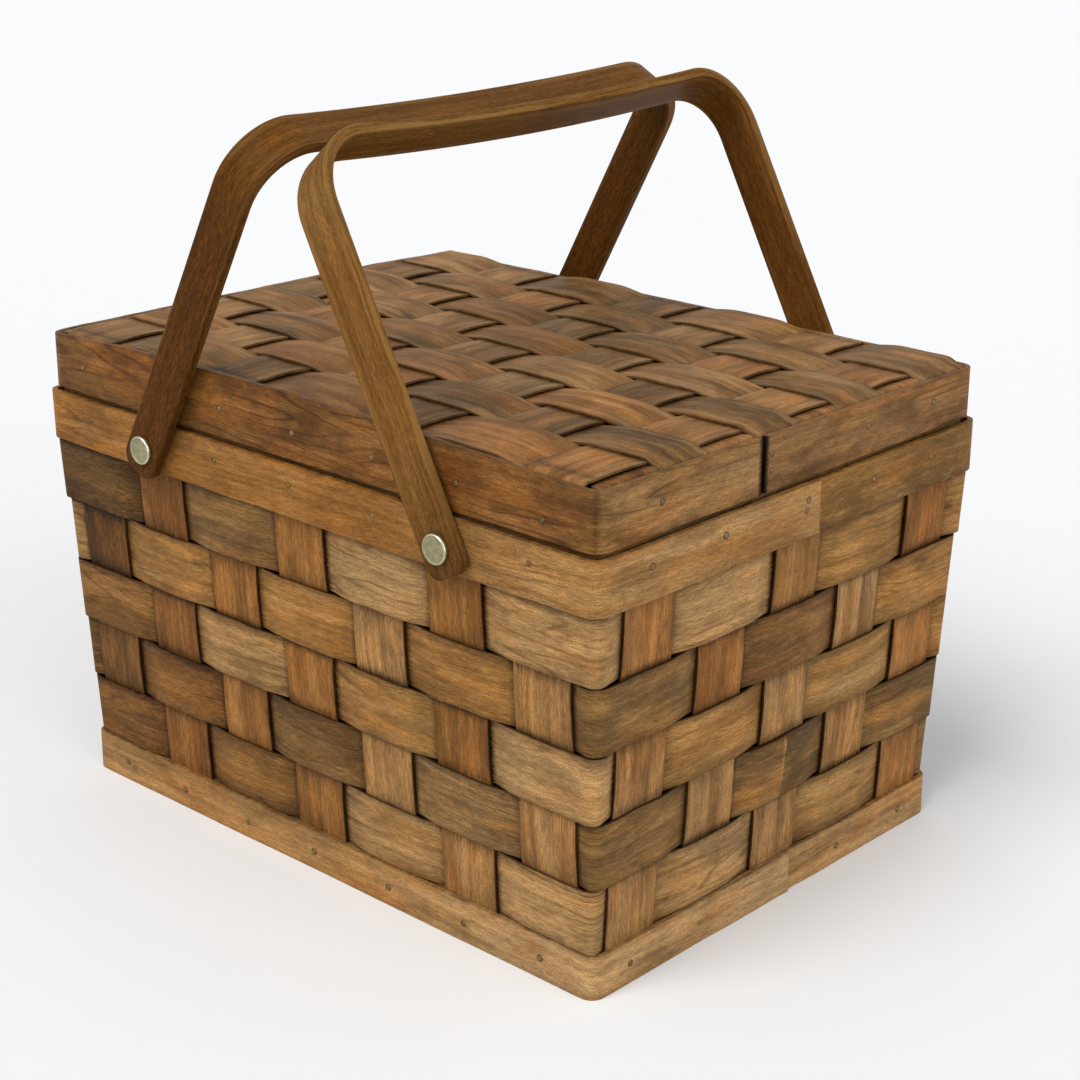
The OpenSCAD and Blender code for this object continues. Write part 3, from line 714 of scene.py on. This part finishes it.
# Lid: seven cross splints lie nearly flat, eight long splints weave over and under them, and all their
# ends are folded down between the lid band and the hoop inside it. The weave has sunk at the back.
lid_low, lid_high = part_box("lid_band")
lid_level = 0.1817
lid_swing = 0.0014
lid_push = 0.0005
lid_crown = 0.0002
lid_fold = 0.002
lid_fold_gap = 0.0002
lid_foot = lid_low.z + 0.0003
lid_end_fold = 0.0015
lid_end_dip = 0.0005
lid_end_run = 0.0062
lid_droop = 0.0019
lid_corner_droop, lid_corner_reach = 0.0016, 0.07
lid_droop_fade = 0.01
# Painted shade at the lid's tucks and down its folds behind the band.
lid_behind, lid_behind_shade = 0.0022, 1.4
lid_tuck, lid_tuck_run = 0.45, 0.003
lid_dusk, lid_dusk_run = 0.16, 0.009
lid_swing_start, lid_swing_run = 0.18, 0.64
lid_splint = 0.0009
lid_fray = 0.02
lid_lanes = 6
lid_margin, lid_margin_ease = 0.0046, 0.0012
lid_cross_steps, lid_cross_flat = 140, 60
lid_long_steps, lid_long_flat = 240, 140
lid_half_x, lid_half_y = lid_high.x - into_wall, lid_high.y - into_wall
lid_cross_x = [sum(c.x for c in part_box(f"lid_cross_{i}")) / 2 for i in range(1, 8)]
lid_long_y = [sum(c.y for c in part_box(f"lid_long_{j}")) / 2 for j in range(1, 9)]
lid_long_half = (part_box("lid_long_1")[1].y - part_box("lid_long_1")[0].y) / 2
lid_pitch_x, lid_pitch_y = lid_cross_x[1] - lid_cross_x[0], lid_long_y[1] - lid_long_y[0]
lid_wood = wood("lid wood", honey=(0.311, 0.153, 0.0505), dark=(0.055, 0.025, 0.009),
                olive=(0.128, 0.075, 0.029), pale=(0.40, 0.240, 0.11), gloss=0.42, mottle=0.9,
                rings=0.4, edge_dark_and_shade=0.5, sheen=0.04, rubbed=0.35)
lid_stains = ["moss", "olive", "brown", "murky", "tawny", "olive", "ash", "moss"]
lid_spots = {
    ("long", 1, 6): "brown", ("long", 1, 4): "umber", ("long", 2, 7): "murky", ("long", 3, 6): "amber",
    ("long", 3, 4): "rosy", ("long", 4, 7): "murky", ("long", 5, 6): "moss", ("long", 5, 4): "brown",
    ("long", 6, 5): "olive", ("long", 6, 7): "olive", ("long", 7, 4): "olive", ("long", 7, 6): "olive",
    ("long", 8, 5): "moss", ("long", 8, 7): "olive", ("cross", 6, 6): "brown", ("cross", 5, 7): "moss",
    ("cross", 5, 1): "olive", ("cross", 5, 3): "ash", ("cross", 6, 2): "murky", ("cross", 7, 1): "amber",
    ("cross", 7, 3): "rosy", ("cross", 7, 5): "honey", ("cross", 7, 7): "brown", ("long", 1, 8): "russet",
    ("long", 3, 8): "amber", ("long", 5, 8): "brown", ("long", 7, 8): "brown", ("long", 6, 3): "umber",
}


def lid_tone(way, own, place):
    """Stain of a lid splint at a place, in crossings along it: one stain to each spot that shows."""
    shown = (own + (way == "long")) % 2
    other = 2 * round((place + 1 - shown) / 2) + shown
    plain = random.Random(own * 31 + other * 7 + len(way)).choice(lid_stains)
    return stains[lid_spots.get((way, own, other), plain)]


def lid_fold_line(half, level, fold):
    """Quarter fold at the end of a lid splint, then straight down inside the band."""
    line = []
    for step in range(fold_steps + 1):
        turn = math.pi / 2 * step / fold_steps
        out = half - fold + fold * math.sin(turn)
        line.append(Vector((out, level - fold * (1 - math.cos(turn)))))
    line.append(Vector((half, lid_foot)))
    return line


def lid_sag(spot):
    """How far the top of the lid has sunk: more towards the back, most at its back left corner."""
    corner = math.hypot(spot.x + lid_half_x, spot.y - lid_half_y)
    back = (spot.y + lid_half_y) / (2 * lid_half_y)
    return lid_droop * back + lid_corner_droop * max(0.0, 1 - corner / lid_corner_reach) ** 2


def lid_sunk(spot):
    """A spot of the weave let down by the sag, which fades out down the folds."""
    upper = clamp((spot.z - lid_low.z) / lid_droop_fade)
    return spot - Vector((0, 0, upper * lid_sag(spot)))


def lid_painted_shade(spot, away):
    """Painted shade where a lid splint slips under its neighbour's edge, and down the fold behind the band.
    """
    tuck = lid_tuck * clamp(1 - abs(away) / lid_tuck_run) + lid_dusk * clamp(1 - abs(away) / lid_dusk_run)
    return lid_behind_shade if spot.z + lid_sag(spot) < lid_high.z - lid_behind else tuck


for i, x in enumerate(lid_cross_x, 1):
    end = lid_fold_line(lid_half_y, lid_level, lid_fold)
    flat = []
    for step in range(-lid_cross_flat, lid_cross_flat + 1):
        y = (lid_half_y - 2 * lid_fold) * step / lid_cross_flat
        push = lid_push * math.cos(math.pi * (y - lid_long_y[0]) / lid_pitch_y) * (1 if i % 2 else -1)
        flat.append(Vector((x, y, lid_level + push)))
    points = [Vector((x, -p.x, p.y)) for p in end[::-1]] + flat + [Vector((x, p.x, p.y)) for p in end]
    points = [lid_sunk(p) for p in evenly(points, lid_cross_steps)]

    def lid_cross_shade(n, v):
        place = (points[n].y - lid_long_y[0]) / lid_pitch_y
        tone = lid_tone("cross", i, place)
        away = min((place + 0.5) % 1, 1 - (place + 0.5) % 1) * lid_pitch_y
        return (*tone[:3], tone[3] + lid_painted_shade(points[n], away))

    piece = strip(f"lid_cross_{i}", lid_cross_steps, lid_lanes,
                  lambda n, v: points[n] + Vector((v * stake_half, 0, 0)), lid_cross_shade, lid_wood,
                  lid_splint, seed=70 + i, fray=lid_fray)
    stands_for(piece, "lid", "lid_wood", f"lid_cross_{i}")

for j, y in enumerate(lid_long_y, 1):
    covering = [x for i, x in enumerate(lid_cross_x, 1) if (i + j) % 2 == 0]
    flat = []
    top = lid_half_x - lid_end_fold - lid_fold_gap
    for step in range(-lid_long_flat, lid_long_flat + 1):
        x = top * step / lid_long_flat
        place = (x - lid_cross_x[0]) / lid_pitch_x
        near = min(max(math.floor(place), 0), len(lid_cross_x) - 2)
        f = clamp((place - near - lid_swing_start) / lid_swing_run)
        over = 1 if (near + j) % 2 == 0 else -1
        rise = over * lid_swing * math.cos(math.pi * f)
        ending = clamp(1 - (top - abs(x)) / lid_end_run)
        rise -= (rise + lid_end_dip) * smooth(ending)
        flat.append(Vector((x, y, lid_level + rise)))
    end = lid_fold_line(lid_half_x, flat[-1].z, lid_end_fold)
    points = [Vector((-p.x, y, p.y)) for p in end[::-1]] + flat + [Vector((p.x, y, p.y)) for p in end]
    points = [lid_sunk(p) for p in evenly(points, lid_long_steps)]

    def clear_of_cross(n):
        """How far a point is past the edge of the nearest cross splint that lies over this one."""
        return min(abs(points[n].x - x) for x in covering) - stake_half

    def lid_long_place(n, v):
        wide = v * lid_long_half
        if j in (1, len(lid_long_y)) and (v < 0) == (j == 1):
            wide += v * lid_margin * clamp(clear_of_cross(n) / lid_margin_ease)
        return points[n] + Vector((0, wide, -lid_crown * v * v))

    def lid_long_shade(n, v):
        place = (points[n].x - lid_cross_x[0]) / lid_pitch_x
        tone = lid_tone("long", j, place)
        return (*tone[:3], tone[3] + lid_painted_shade(points[n], clear_of_cross(n)))

    piece = strip(f"lid_long_{j}", lid_long_steps, lid_lanes, lid_long_place, lid_long_shade, lid_wood,
                  lid_splint, seed=80 + j, fray=lid_fray)
    stands_for(piece, "lid", "lid_wood", f"lid_long_{j}")


# Lid band: the same 2 mm veneer as the rim band in a redder stain, butted on the right end wall with a
# narrow slot. Along the front its top edge bows up a little. A thin hoop backs it inside the lid.
slot_place = -0.0222
slot_gap = 0.0019
front_bow, bow_middle, bow_run, bow_fade, bow_power = 0.003, -0.02, 0.15, 0.045, 0.8
lid_band_steps = 440
lid_band_waves = 20
lid_band_drop = 0.001
stain_ease = 0.006
# A darker stripe at each corner; the two ends, seen down the slot, are painted shade.
corner_dark_stripe, slot_end_shade = 0.45, 1.4
corner_from, corner_to = 0.35, 0.85
near_olive, near_pale, near_pale_fall, near_pale_middle = 0.45, 0.95, 0.45, 0.1
near_red, near_red_below = 0.5, 0.5
far_olive, far_red, far_pale = 0.05, 0.45, 0.5
front_red, front_red_gain, front_pale = 0.1, 0.25, 0.14
left_pale, left_share = 0.25, 1 / 5
lid_band_wood = wood("lid band wood", honey=(0.186, 0.072, 0.0135), dark=(0.052, 0.018, 0.005),
                     olive=(0.165, 0.085, 0.023), pale=(0.375, 0.205, 0.078), gloss=0.36, mottle=1.3,
                     rings=0.7, edge_dark_and_shade=0.3)


def lid_band_piece():
    """The band of the lid, from one side of its slot round to the other."""
    half_x, half_y, corner = lid_high.x, lid_high.y, band_corner
    total = ring_length(half_x, half_y, corner)
    mid_right = 2 * (half_x - corner) + math.pi / 2 * corner + (half_y - corner)
    start = mid_right + slot_place + slot_gap / 2
    finish = mid_right + slot_place - slot_gap / 2 + total
    steps = lid_band_steps
    middle, half = (lid_low.z + lid_high.z) / 2, (lid_high.z - lid_low.z) / 2

    def place(i, v):
        d = start + (finish - start) * i / steps
        spot, out = ring_point(d, half_x, half_y, corner)
        wave = band_wave * noise.noise(Vector((d * lid_band_waves, 5.0, 0.3)))
        bow = -lid_sag(spot) * max(0.0, v) - lid_band_drop * max(0.0, -v)
        if spot.y < -half_y + corner:
            rise = max(0.0, math.cos(math.pi / 2 * (spot.x - bow_middle) / bow_run)) ** bow_power
            rise *= min(1.0, (half_x - abs(spot.x)) / bow_fade)
            bow += front_bow * rise * max(0.0, v)
        return spot + out * wave + Vector((0, 0, middle + v * half + bow))

    def shade(i, v):
        d = (start + (finish - start) * i / steps) % total
        bend = abs(ring_point(d, half_x, half_y, corner)[1].x)
        band_darkening = corner_dark_stripe if corner_from < bend < corner_to else 0.0
        front = 2 * (half_x - corner)
        near = clamp((d - front) / stain_ease) if d < mid_right + slot_place else 0.0
        far = clamp((d - front) / stain_ease) if d > mid_right + slot_place else 0.0
        rest = (1 - near) * (1 - far)
        across = min(1.0, d / front)
        pale = near * (near_pale - near_pale_fall * abs(v - near_pale_middle)) + far_pale * far
        pale += rest * (front_pale * across + left_pale * clamp(1 - across / left_share))
        red = rest * (front_red + front_red_gain * across) + far_red * far
        red += near_red * near * max(0.0, -v - near_red_below)
        # Painted shade on the two ends seen down the slot.
        band_darkening = slot_end_shade if i in (0, steps) else band_darkening
        return (near_olive * near + far_olive * far, red, pale, band_darkening)

    return strip("lid_band", steps, band_lanes, place, shade, lid_band_wood, band_thickness, seed=91,
                 fray=lid_fray, side=-1.0)


stands_for(lid_band_piece(), "lid", "lid_band_wood", "lid_band")
stands_for(hoop_inside("lid_hoop", *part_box("lid_hoop"), seed=92), "lid", "hoop_wood", "lid_hoop")


# Nails: short steel pins with small flat heads, driven through each band into the splint and the hoop
# behind it. The dark ring round each head is bruised wood and painted shadow of the head.
nail_profile = [(0.0, 0.0003), (0.0006, 0.00027), (0.0009, 0.00015), (0.00105, -0.0001), (0.00105, -0.0006)]
bruise_shadow_profile = [(0.00105, 0.00010), (0.0012, 0.00011), (0.0013, 0.00004), (0.0014, -0.0002)]
nail_sides = 12
nail_stray = 0.0008
rim_nail_height, base_nail_height, lid_nail_height = 0.1515, 0.0075, 0.171


def metal(name, base, dull, gloss, grime):
    """Worn metal: its colour dulled in patches, with fine scratches in its polish."""
    material, tree, shader = new_material(name)
    where = node(tree, "TexCoord").outputs["Object"]
    patch = node(tree, "TexNoise", {"Vector": where, "Scale": 420.0, "Detail": 4.0}).outputs[0]
    fine = node(tree, "TexNoise", {"Vector": where, "Scale": 2600.0, "Detail": 2.0}).outputs[0]
    colour = blend(tree, remap(tree, patch, 0.35, 0.65, 0.0, grime), opaque(base), opaque(dull))
    bump = node(tree, "Bump", {"Height": fine, "Strength": 0.25, "Distance": 0.00015}).outputs[0]
    shader.inputs["Metallic"].default_value = 1.0
    tree.links.new(colour, shader.inputs["Base Color"])
    tree.links.new(remap(tree, fine, 0.3, 0.7, gloss, gloss + 0.25), shader.inputs["Roughness"])
    tree.links.new(bump, shader.inputs["Normal"])
    return material


def bruised_shadowed_wood():
    """Wood crushed and iron-stained round a nail, darkened further as painted shadow of its head."""
    material, tree, shader = new_material("bruised and shadowed wood")
    where = node(tree, "TexCoord").outputs["Object"]
    patch = node(tree, "TexNoise", {"Vector": where, "Scale": 900.0, "Detail": 3.0}).outputs[0]
    colour = blend(tree, remap(tree, patch, 0.3, 0.7), (0.03, 0.013, 0.005, 1), (0.09, 0.038, 0.012, 1))
    tree.links.new(colour, shader.inputs["Base Color"])
    tree.links.new(remap(tree, patch, 0.3, 0.7, 0.5, 0.75), shader.inputs["Roughness"])
    return material


def turned(profile, steps, finish, rim=None):
    """A round piece: a profile of (radius, height) points spun about its axis. Its rim, past a radius
    and down to a depth, may be polished."""
    bm = bmesh.new()
    points = [bm.verts.new((r, 0, h)) for r, h in profile]
    lines = [bm.edges.new(pair) for pair in zip(points, points[1:])]
    bmesh.ops.spin(bm, geom=points + lines, cent=(0, 0, 0), axis=(0, 0, 1), angle=2 * math.pi,
                   steps=steps, use_merge=True)
    bmesh.ops.remove_doubles(bm, verts=bm.verts, dist=1e-6)
    bmesh.ops.recalc_face_normals(bm, faces=bm.faces)
    for face in bm.faces:
        face.smooth = True
        middle = face.calc_center_median()
        polished = rim and middle.xy.length > rim[0] and middle.z > -rim[1]
        face.material_index = finish + (1 if polished else 0)
    mesh = bpy.data.meshes.new("turned")
    bm.to_mesh(mesh)
    bm.free()
    return mesh


def facing(spot, out):
    """Matrix that stands a turned piece on a face at spot, looking out."""
    return Matrix.Translation(spot) @ Vector((0, 0, 1)).rotation_difference(out).to_matrix().to_4x4()


def scattered(name, meshes, places, materials):
    """One piece of several like ones, each a copy of the turned meshes set in its place."""
    bm = bmesh.new()
    for mesh in meshes:
        for place in places:
            before = set(bm.verts)
            bm.from_mesh(mesh)
            bmesh.ops.transform(bm, matrix=place, verts=[v for v in bm.verts if v not in before])
    for face in bm.faces:
        face.smooth = True
    return finished(name, bm, *materials)


nail_steel = metal("nail steel", (0.27, 0.165, 0.06), (0.13, 0.075, 0.026), gloss=0.5, grime=0.7)
bruise_and_shadow = bruised_shadowed_wood()
nail_meshes = [turned(nail_profile, nail_sides, 0), turned(bruise_shadow_profile, nail_sides, 1)]


def nail_places(high, z, front, right, seed, proud=0.0):
    """Nails in the four sides of a band: those seen on the front and right, the same on the others."""
    rng = random.Random(seed)
    places = []
    for x in front:
        for side in (-1, 1):
            spot = Vector((-side * x, side * high.y, z + rng.uniform(-nail_stray, nail_stray)))
            places.append(facing(spot, Vector((0, side, 0))))
    for y, rise in right:
        lap = proud if lap_end - lap_length < y < lap_end else 0.0
        places.append(facing(Vector((high.x + lap, y, z + rise)), Vector((1, 0, 0))))
        places.append(facing(Vector((-high.x, -y, z + rise)), Vector((-1, 0, 0))))
    return places


rim_places = nail_places(rim_high, rim_nail_height, (-0.1135, -0.0415, -0.002, 0.040, 0.1115),
                         ((-0.080, 0), (-0.043, 0.0005), (0.001, 0.002), (0.0005, -0.0018), (0.040, 0),
                          (0.0755, 0)), seed=5, proud=lap_proud)
base_places = nail_places(base_high, base_nail_height,
                          (-0.113, -0.0775, -0.040, -0.003, 0.0365, 0.074, 0.110),
                          ((-0.0795, 0), (-0.043, 0.0006), (0.002, 0), (0.038, -0.0004), (0.078, 0)),
                          seed=6)
lid_places = nail_places(lid_high, lid_nail_height, (-0.1185, -0.0785, -0.0395, -0.001, 0.0385, 0.0775),
                         ((-0.0740, 0), (-0.018, 0.0028), (-0.018, -0.0032), (0.037, 0), (0.0775, 0)),
                         seed=7)
bent_nail_x, bent_nail_z, bent_nail_out = 0.116, 0.1672, 0.0003
bent_nail_turn = Matrix.Rotation(math.radians(62), 4, (0.5, 1, 0))
bent_nail = facing(Vector((bent_nail_x, -lid_high.y - bent_nail_out, bent_nail_z)), Vector((0, -1, 0)))
lid_places.append(bent_nail @ bent_nail_turn)
for name, places, body in (("rim_nails", rim_places, "basket"), ("base_nails", base_places, "basket"),
                           ("lid_nails", lid_places, "lid")):
    stands_for(scattered(name, nail_meshes, places, [nail_steel, bruise_and_shadow]), body, "nail_metal", name)


# Rivets: four brass rivets that the handles swing on, each with a flat cap and a rolled rim outside,
# a plain washer between leg and rim band, and a washer inside that the end is spread over.
rivet_low, rivet_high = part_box("rivets")
rivet_flange = 0.006
cap_sides, cap_rim = 40, (0.0047, 0.001)
pivot_x, pivot_z = rivet_high.x - rivet_flange, (rivet_low.z + rivet_high.z) / 2
cap_profile = [(0.0, -0.00035), (0.0025, -0.00033), (0.0038, -0.00038), (0.0042, -0.0004), (0.0045, -0.00015),
               (0.0048, 0.0), (0.0051, -0.0001), (0.0053, -0.0005), (0.00535, -0.0010), (0.0053, -0.0017),
               (0.0025, -0.0017), (0.0025, -0.0118), (0.0034, -0.0121), (0.0033, -0.0127), (0.0022, -0.0131),
               (0.0, -0.0132)]
brass = metal("old brass", (0.35, 0.325, 0.19), (0.25, 0.225, 0.125), gloss=0.36, grime=0.7)
rubbed_brass = metal("rubbed brass", (0.62, 0.56, 0.39), (0.42, 0.37, 0.24), gloss=0.2, grime=0.5)
rivet_places = [facing(Vector((sx * pivot_x, sy * rivet_high.y, pivot_z)), Vector((0, sy, 0)))
                for sx in (-1, 1) for sy in (-1, 1)]
cap = turned(cap_profile, cap_sides, 0, cap_rim)
rivets = scattered("rivets", [cap], rivet_places, [brass, rubbed_brass])
stands_for(rivets, "basket", "rivet_metal", "rivets")
for name in ("spacing_washers", "backing_washers"):
    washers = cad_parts[name]
    washers.data.materials.clear()
    washers.data.materials.append(brass)


# Handles: two strips of hardwood, 17 by 4 mm, steamed and bent to a square bow. Each leg's blunt rounded
# end hangs on a rivet, and the two bars, which sag a little, lean together over the lid.
handle_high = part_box("handle_right")[1]
handle_half = 0.0085
handle_thickness = 0.004
handle_reach = 0.1375
handle_bend = 0.025
handle_tail = 0.0103
handle_round = 0.0056
handle_edge = 0.0006
tail_steps, leg_steps, bend_steps, bar_steps = 8, 24, 16, 20
handle_lean = math.radians(28.1)
leg_top = handle_reach - handle_bend
leg_middle = handle_high.y - handle_thickness / 2
bend_radius = handle_bend - handle_thickness / 2
bar_half = leg_middle - bend_radius
bar_sag = 0.0024
bar_start, bar_ease = 0.10, 0.03
# Painted highlight on the front leg at its bend, painted shade on the bar's inner face, and legs darker
# towards their feet.
bend_height, bend_run = 0.118, 0.024
leg_foot_dark, foot_start, foot_run = 0.55, -0.01, 0.045
rubbed_edge, shaded_inside = 0.12, 0.2
edge_wear = 0.94
handle_wood = wood("handle wood", honey=(0.192, 0.077, 0.0135), dark=(0.060, 0.022, 0.004),
                   olive=(0.110, 0.051, 0.0105), pale=(0.27, 0.140, 0.042), gloss=0.34, mottle=0.3,
                   rings=0.2, edge_dark_and_shade=0.0, sheen=0.025, rubbed=0.6)


def handle_line():
    """Half of the bow from the tail of a leg to the middle of the bar: (out, up, half width)."""
    line = []
    for step in range(tail_steps + 1):
        turn = math.pi / 2 * step / tail_steps
        up = handle_round * (1 - math.cos(turn)) - handle_tail
        line.append((leg_middle, up, handle_half - handle_round * (1 - math.sin(turn))))
    foot = handle_round - handle_tail
    for step in range(1, leg_steps + 1):
        line.append((leg_middle, foot + (leg_top - foot) * step / leg_steps, handle_half))
    for step in range(1, bend_steps + 1):
        turn = math.pi / 2 * step / bend_steps
        out = leg_middle - bend_radius * (1 - math.cos(turn))
        line.append((out, leg_top + bend_radius * math.sin(turn), handle_half))
    for step in range(1, bar_steps + 1):
        line.append((bar_half * (1 - step / bar_steps), leg_top + bend_radius, handle_half))
    return line


def handle_section():
    """Round the strip's cross section, from the middle of its inner face: (across, through) points."""
    deep = handle_thickness / 2
    quarter = [(0.0, deep), (0.3, deep), (0.6, deep)]
    inset = handle_edge / handle_half
    for step in range(5):
        turn = math.pi / 2 * step / 4
        quarter.append((1 - inset * (1 - math.sin(turn)), deep - handle_edge * (1 - math.cos(turn))))
    quarter.append((1.0, 0.0))
    half = quarter + [(a, -b) for a, b in quarter[-2::-1]]
    return half + [(-a, b) for a, b in half[-2:0:-1]] + [half[0]]


def bent_handle(name, side, seed, leg_tone, bar_tone, back_tone, bend_highlight=0.0, twist=0.0):
    """A strip with eased edges swept along the bow; its grain runs along all four faces. Front leg, bar
    and back leg have a tone each, the front leg has a painted highlight at its bend, and the bar may be
    twisted."""
    half = handle_line()
    line = [(-y, up, wide) for y, up, wide in half] + half[-2::-1]
    steps = len(line) - 1
    pivot = Vector((side * pivot_x, 0, pivot_z))
    rising = Vector((-side * math.sin(handle_lean), 0, math.cos(handle_lean)))
    middle = []
    for y, up, wide in line:
        sag = bar_sag * (1 - (y / bar_half) ** 2) * clamp(up / leg_top)
        middle.append(pivot + rising * (up - sag) + Vector((0, y, 0)))
    reach = distances(middle)
    section = handle_section()
    round_it = [0.0]
    for (a, b), (c, d) in zip(section, section[1:]):
        round_it.append(round_it[-1] + math.hypot((c - a) * handle_half, d - b))
    slip = random.Random(seed).uniform(0, 3)
    bm = bmesh.new()
    grain = bm.loops.layers.uv.new("grain")
    tone = bm.verts.layers.float_color.new("tone")
    edge = bm.verts.layers.float.new("edge")
    bmesh.ops.create_grid(bm, x_segments=steps, y_segments=len(section) - 1, size=1.0)
    for face in bm.faces:
        face.smooth = True
        for loop in face.loops:
            i = round((loop.vert.co.x + 1) / 2 * steps)
            m = round((loop.vert.co.y + 1) / 2 * (len(section) - 1))
            loop[grain].uv = (slip + reach[i], slip + round_it[m])
    for vert in bm.verts:
        i = round((vert.co.x + 1) / 2 * steps)
        m = round((vert.co.y + 1) / 2 * (len(section) - 1))
        y, up, wide = line[i]
        a, b = section[m]
        run = (middle[min(i + 1, steps)] - middle[max(i - 1, 0)]).normalized()
        on_bar = clamp((up - bar_start) / bar_ease)
        tilt = handle_lean + twist * smooth(on_bar)
        across = Vector((math.cos(tilt), 0, side * math.sin(tilt)))
        own = mixed(leg_tone if y < 0 else back_tone, bar_tone, on_bar)
        if y < 0:
            # Painted highlight on the front leg at its bend.
            own[2] += bend_highlight * max(0.0, 1 - abs(up - bend_height) / bend_run)
        # The bar's edges are rubbed pale; its inner face gets painted shade.
        if abs(a) > 0.99:
            own[2] += rubbed_edge * on_bar
        elif b > 0:
            own[3] += shaded_inside * on_bar
        # The legs darken towards their feet.
        foot = leg_foot_dark * clamp(1 - (up - foot_start) / foot_run)
        vert[tone] = (*own[:3], max(own[3], foot))
        vert[edge] = min(abs(a), edge_wear)
        vert.co = middle[i] + across * (a * wide) + run.cross(across) * b
    bmesh.ops.remove_doubles(bm, verts=bm.verts, dist=1e-6)
    bmesh.ops.holes_fill(bm, edges=[e for e in bm.edges if e.is_boundary], sides=0)
    bmesh.ops.recalc_face_normals(bm, faces=bm.faces)
    return finished(name, bm, handle_wood)


left_bow = bent_handle("handle_left", side=-1, seed=95, leg_tone=(0.3, 0.8, 0.0, 0.62),
                       bar_tone=(0.45, 0.2, 0.0, 0.24), back_tone=(0.4, 0.8, 0.0, 0.62))
stands_for(left_bow, "handle_left", "handle_wood", "handle_left")
right_bow = bent_handle("handle_right", side=1, seed=96, leg_tone=(0.1, 0.1, 0.15, 0.0),
                        bar_tone=(0.45, 0.1, 0.0, 0.12), back_tone=(0.5, 0.5, 0.0, 0.3), bend_highlight=0.6,
                        twist=math.radians(13))
stands_for(right_bow, "handle_right", "handle_wood", "handle_right")


# Studio: a wide pale floor, a large soft light from high in front, a weaker one from low on the right,
# and the camera where the photograph was taken from.
floor_size = 7.0
floor_squares = 8


def soft_floor():
    bm = bmesh.new()
    bmesh.ops.create_grid(bm, x_segments=floor_squares, y_segments=floor_squares, size=floor_size)
    material, tree, shader = new_material("pale floor")
    where = node(tree, "TexCoord").outputs["Object"]
    cloud = node(tree, "TexNoise", {"Vector": where, "Scale": 1.5, "Detail": 2.0}).outputs[0]
    colour = blend(tree, cloud, (0.825, 0.825, 0.825, 1), (0.85, 0.85, 0.85, 1))
    tree.links.new(colour, shader.inputs["Base Color"])
    shader.inputs["Roughness"].default_value = 0.9
    finished("floor", bm, material)


def far_light(name, azimuth, height, spread, strength, tint):
    """A broad soft light from far off, at an azimuth and height in degrees."""
    lamp = bpy.data.lights.new(name, "SUN")
    lamp.color = tint
    lamp.angle = math.radians(spread)
    lamp.energy = strength
    in_scene(name, lamp).rotation_euler = (math.radians(90 - height), 0, math.radians(azimuth))


soft_floor()
far_light("key light", azimuth=-3, height=56, spread=36, strength=1.98, tint=(1.0, 1.0, 1.0))
far_light("fill light", azimuth=85, height=15, spread=60, strength=1.32, tint=(0.95, 1.0, 1.06))
world = bpy.data.worlds.new("studio")
bpy.context.scene.world = world
world.use_nodes = True
world_tree = world.node_tree
rays = node(world_tree, "LightPath")
seen = calc(world_tree, "MAXIMUM", rays.outputs["Is Camera Ray"], rays.outputs["Is Glossy Ray"])
seen = calc(world_tree, "MAXIMUM", seen, rays.outputs["Is Transmission Ray"])
backdrop = world_tree.nodes["Background"]
backdrop.inputs["Color"].default_value = (0.98, 0.99, 1.0, 1)
world_tree.links.new(remap(world_tree, seen, 0.0, 1.0, 0.5, 1.0), backdrop.inputs["Strength"])
bpy.context.scene.view_settings.view_transform = "Standard"

camera_azimuth = math.radians(42.565)
camera_height = math.radians(19.936)
camera_roll = math.radians(0.33)
camera_place = (0.56444, -0.59430, 0.40163)
back = Vector((math.sin(camera_azimuth) * math.cos(camera_height),
               -math.cos(camera_azimuth) * math.cos(camera_height), math.sin(camera_height)))
right = Vector((math.cos(camera_azimuth), math.sin(camera_azimuth), 0))
up = back.cross(right)
rolled_right = right * math.cos(camera_roll) + up * math.sin(camera_roll)
rolled_up = up * math.cos(camera_roll) - right * math.sin(camera_roll)
lens = bpy.data.cameras.new("camera")
lens.sensor_fit = "HORIZONTAL"
lens.sensor_width = 36
lens.lens = 75.888
camera = in_scene("camera", lens)
turned_to = Matrix((rolled_right, rolled_up, back)).transposed().to_4x4()
camera.matrix_world = Matrix.Translation(camera_place) @ turned_to
bpy.context.scene.camera = camera
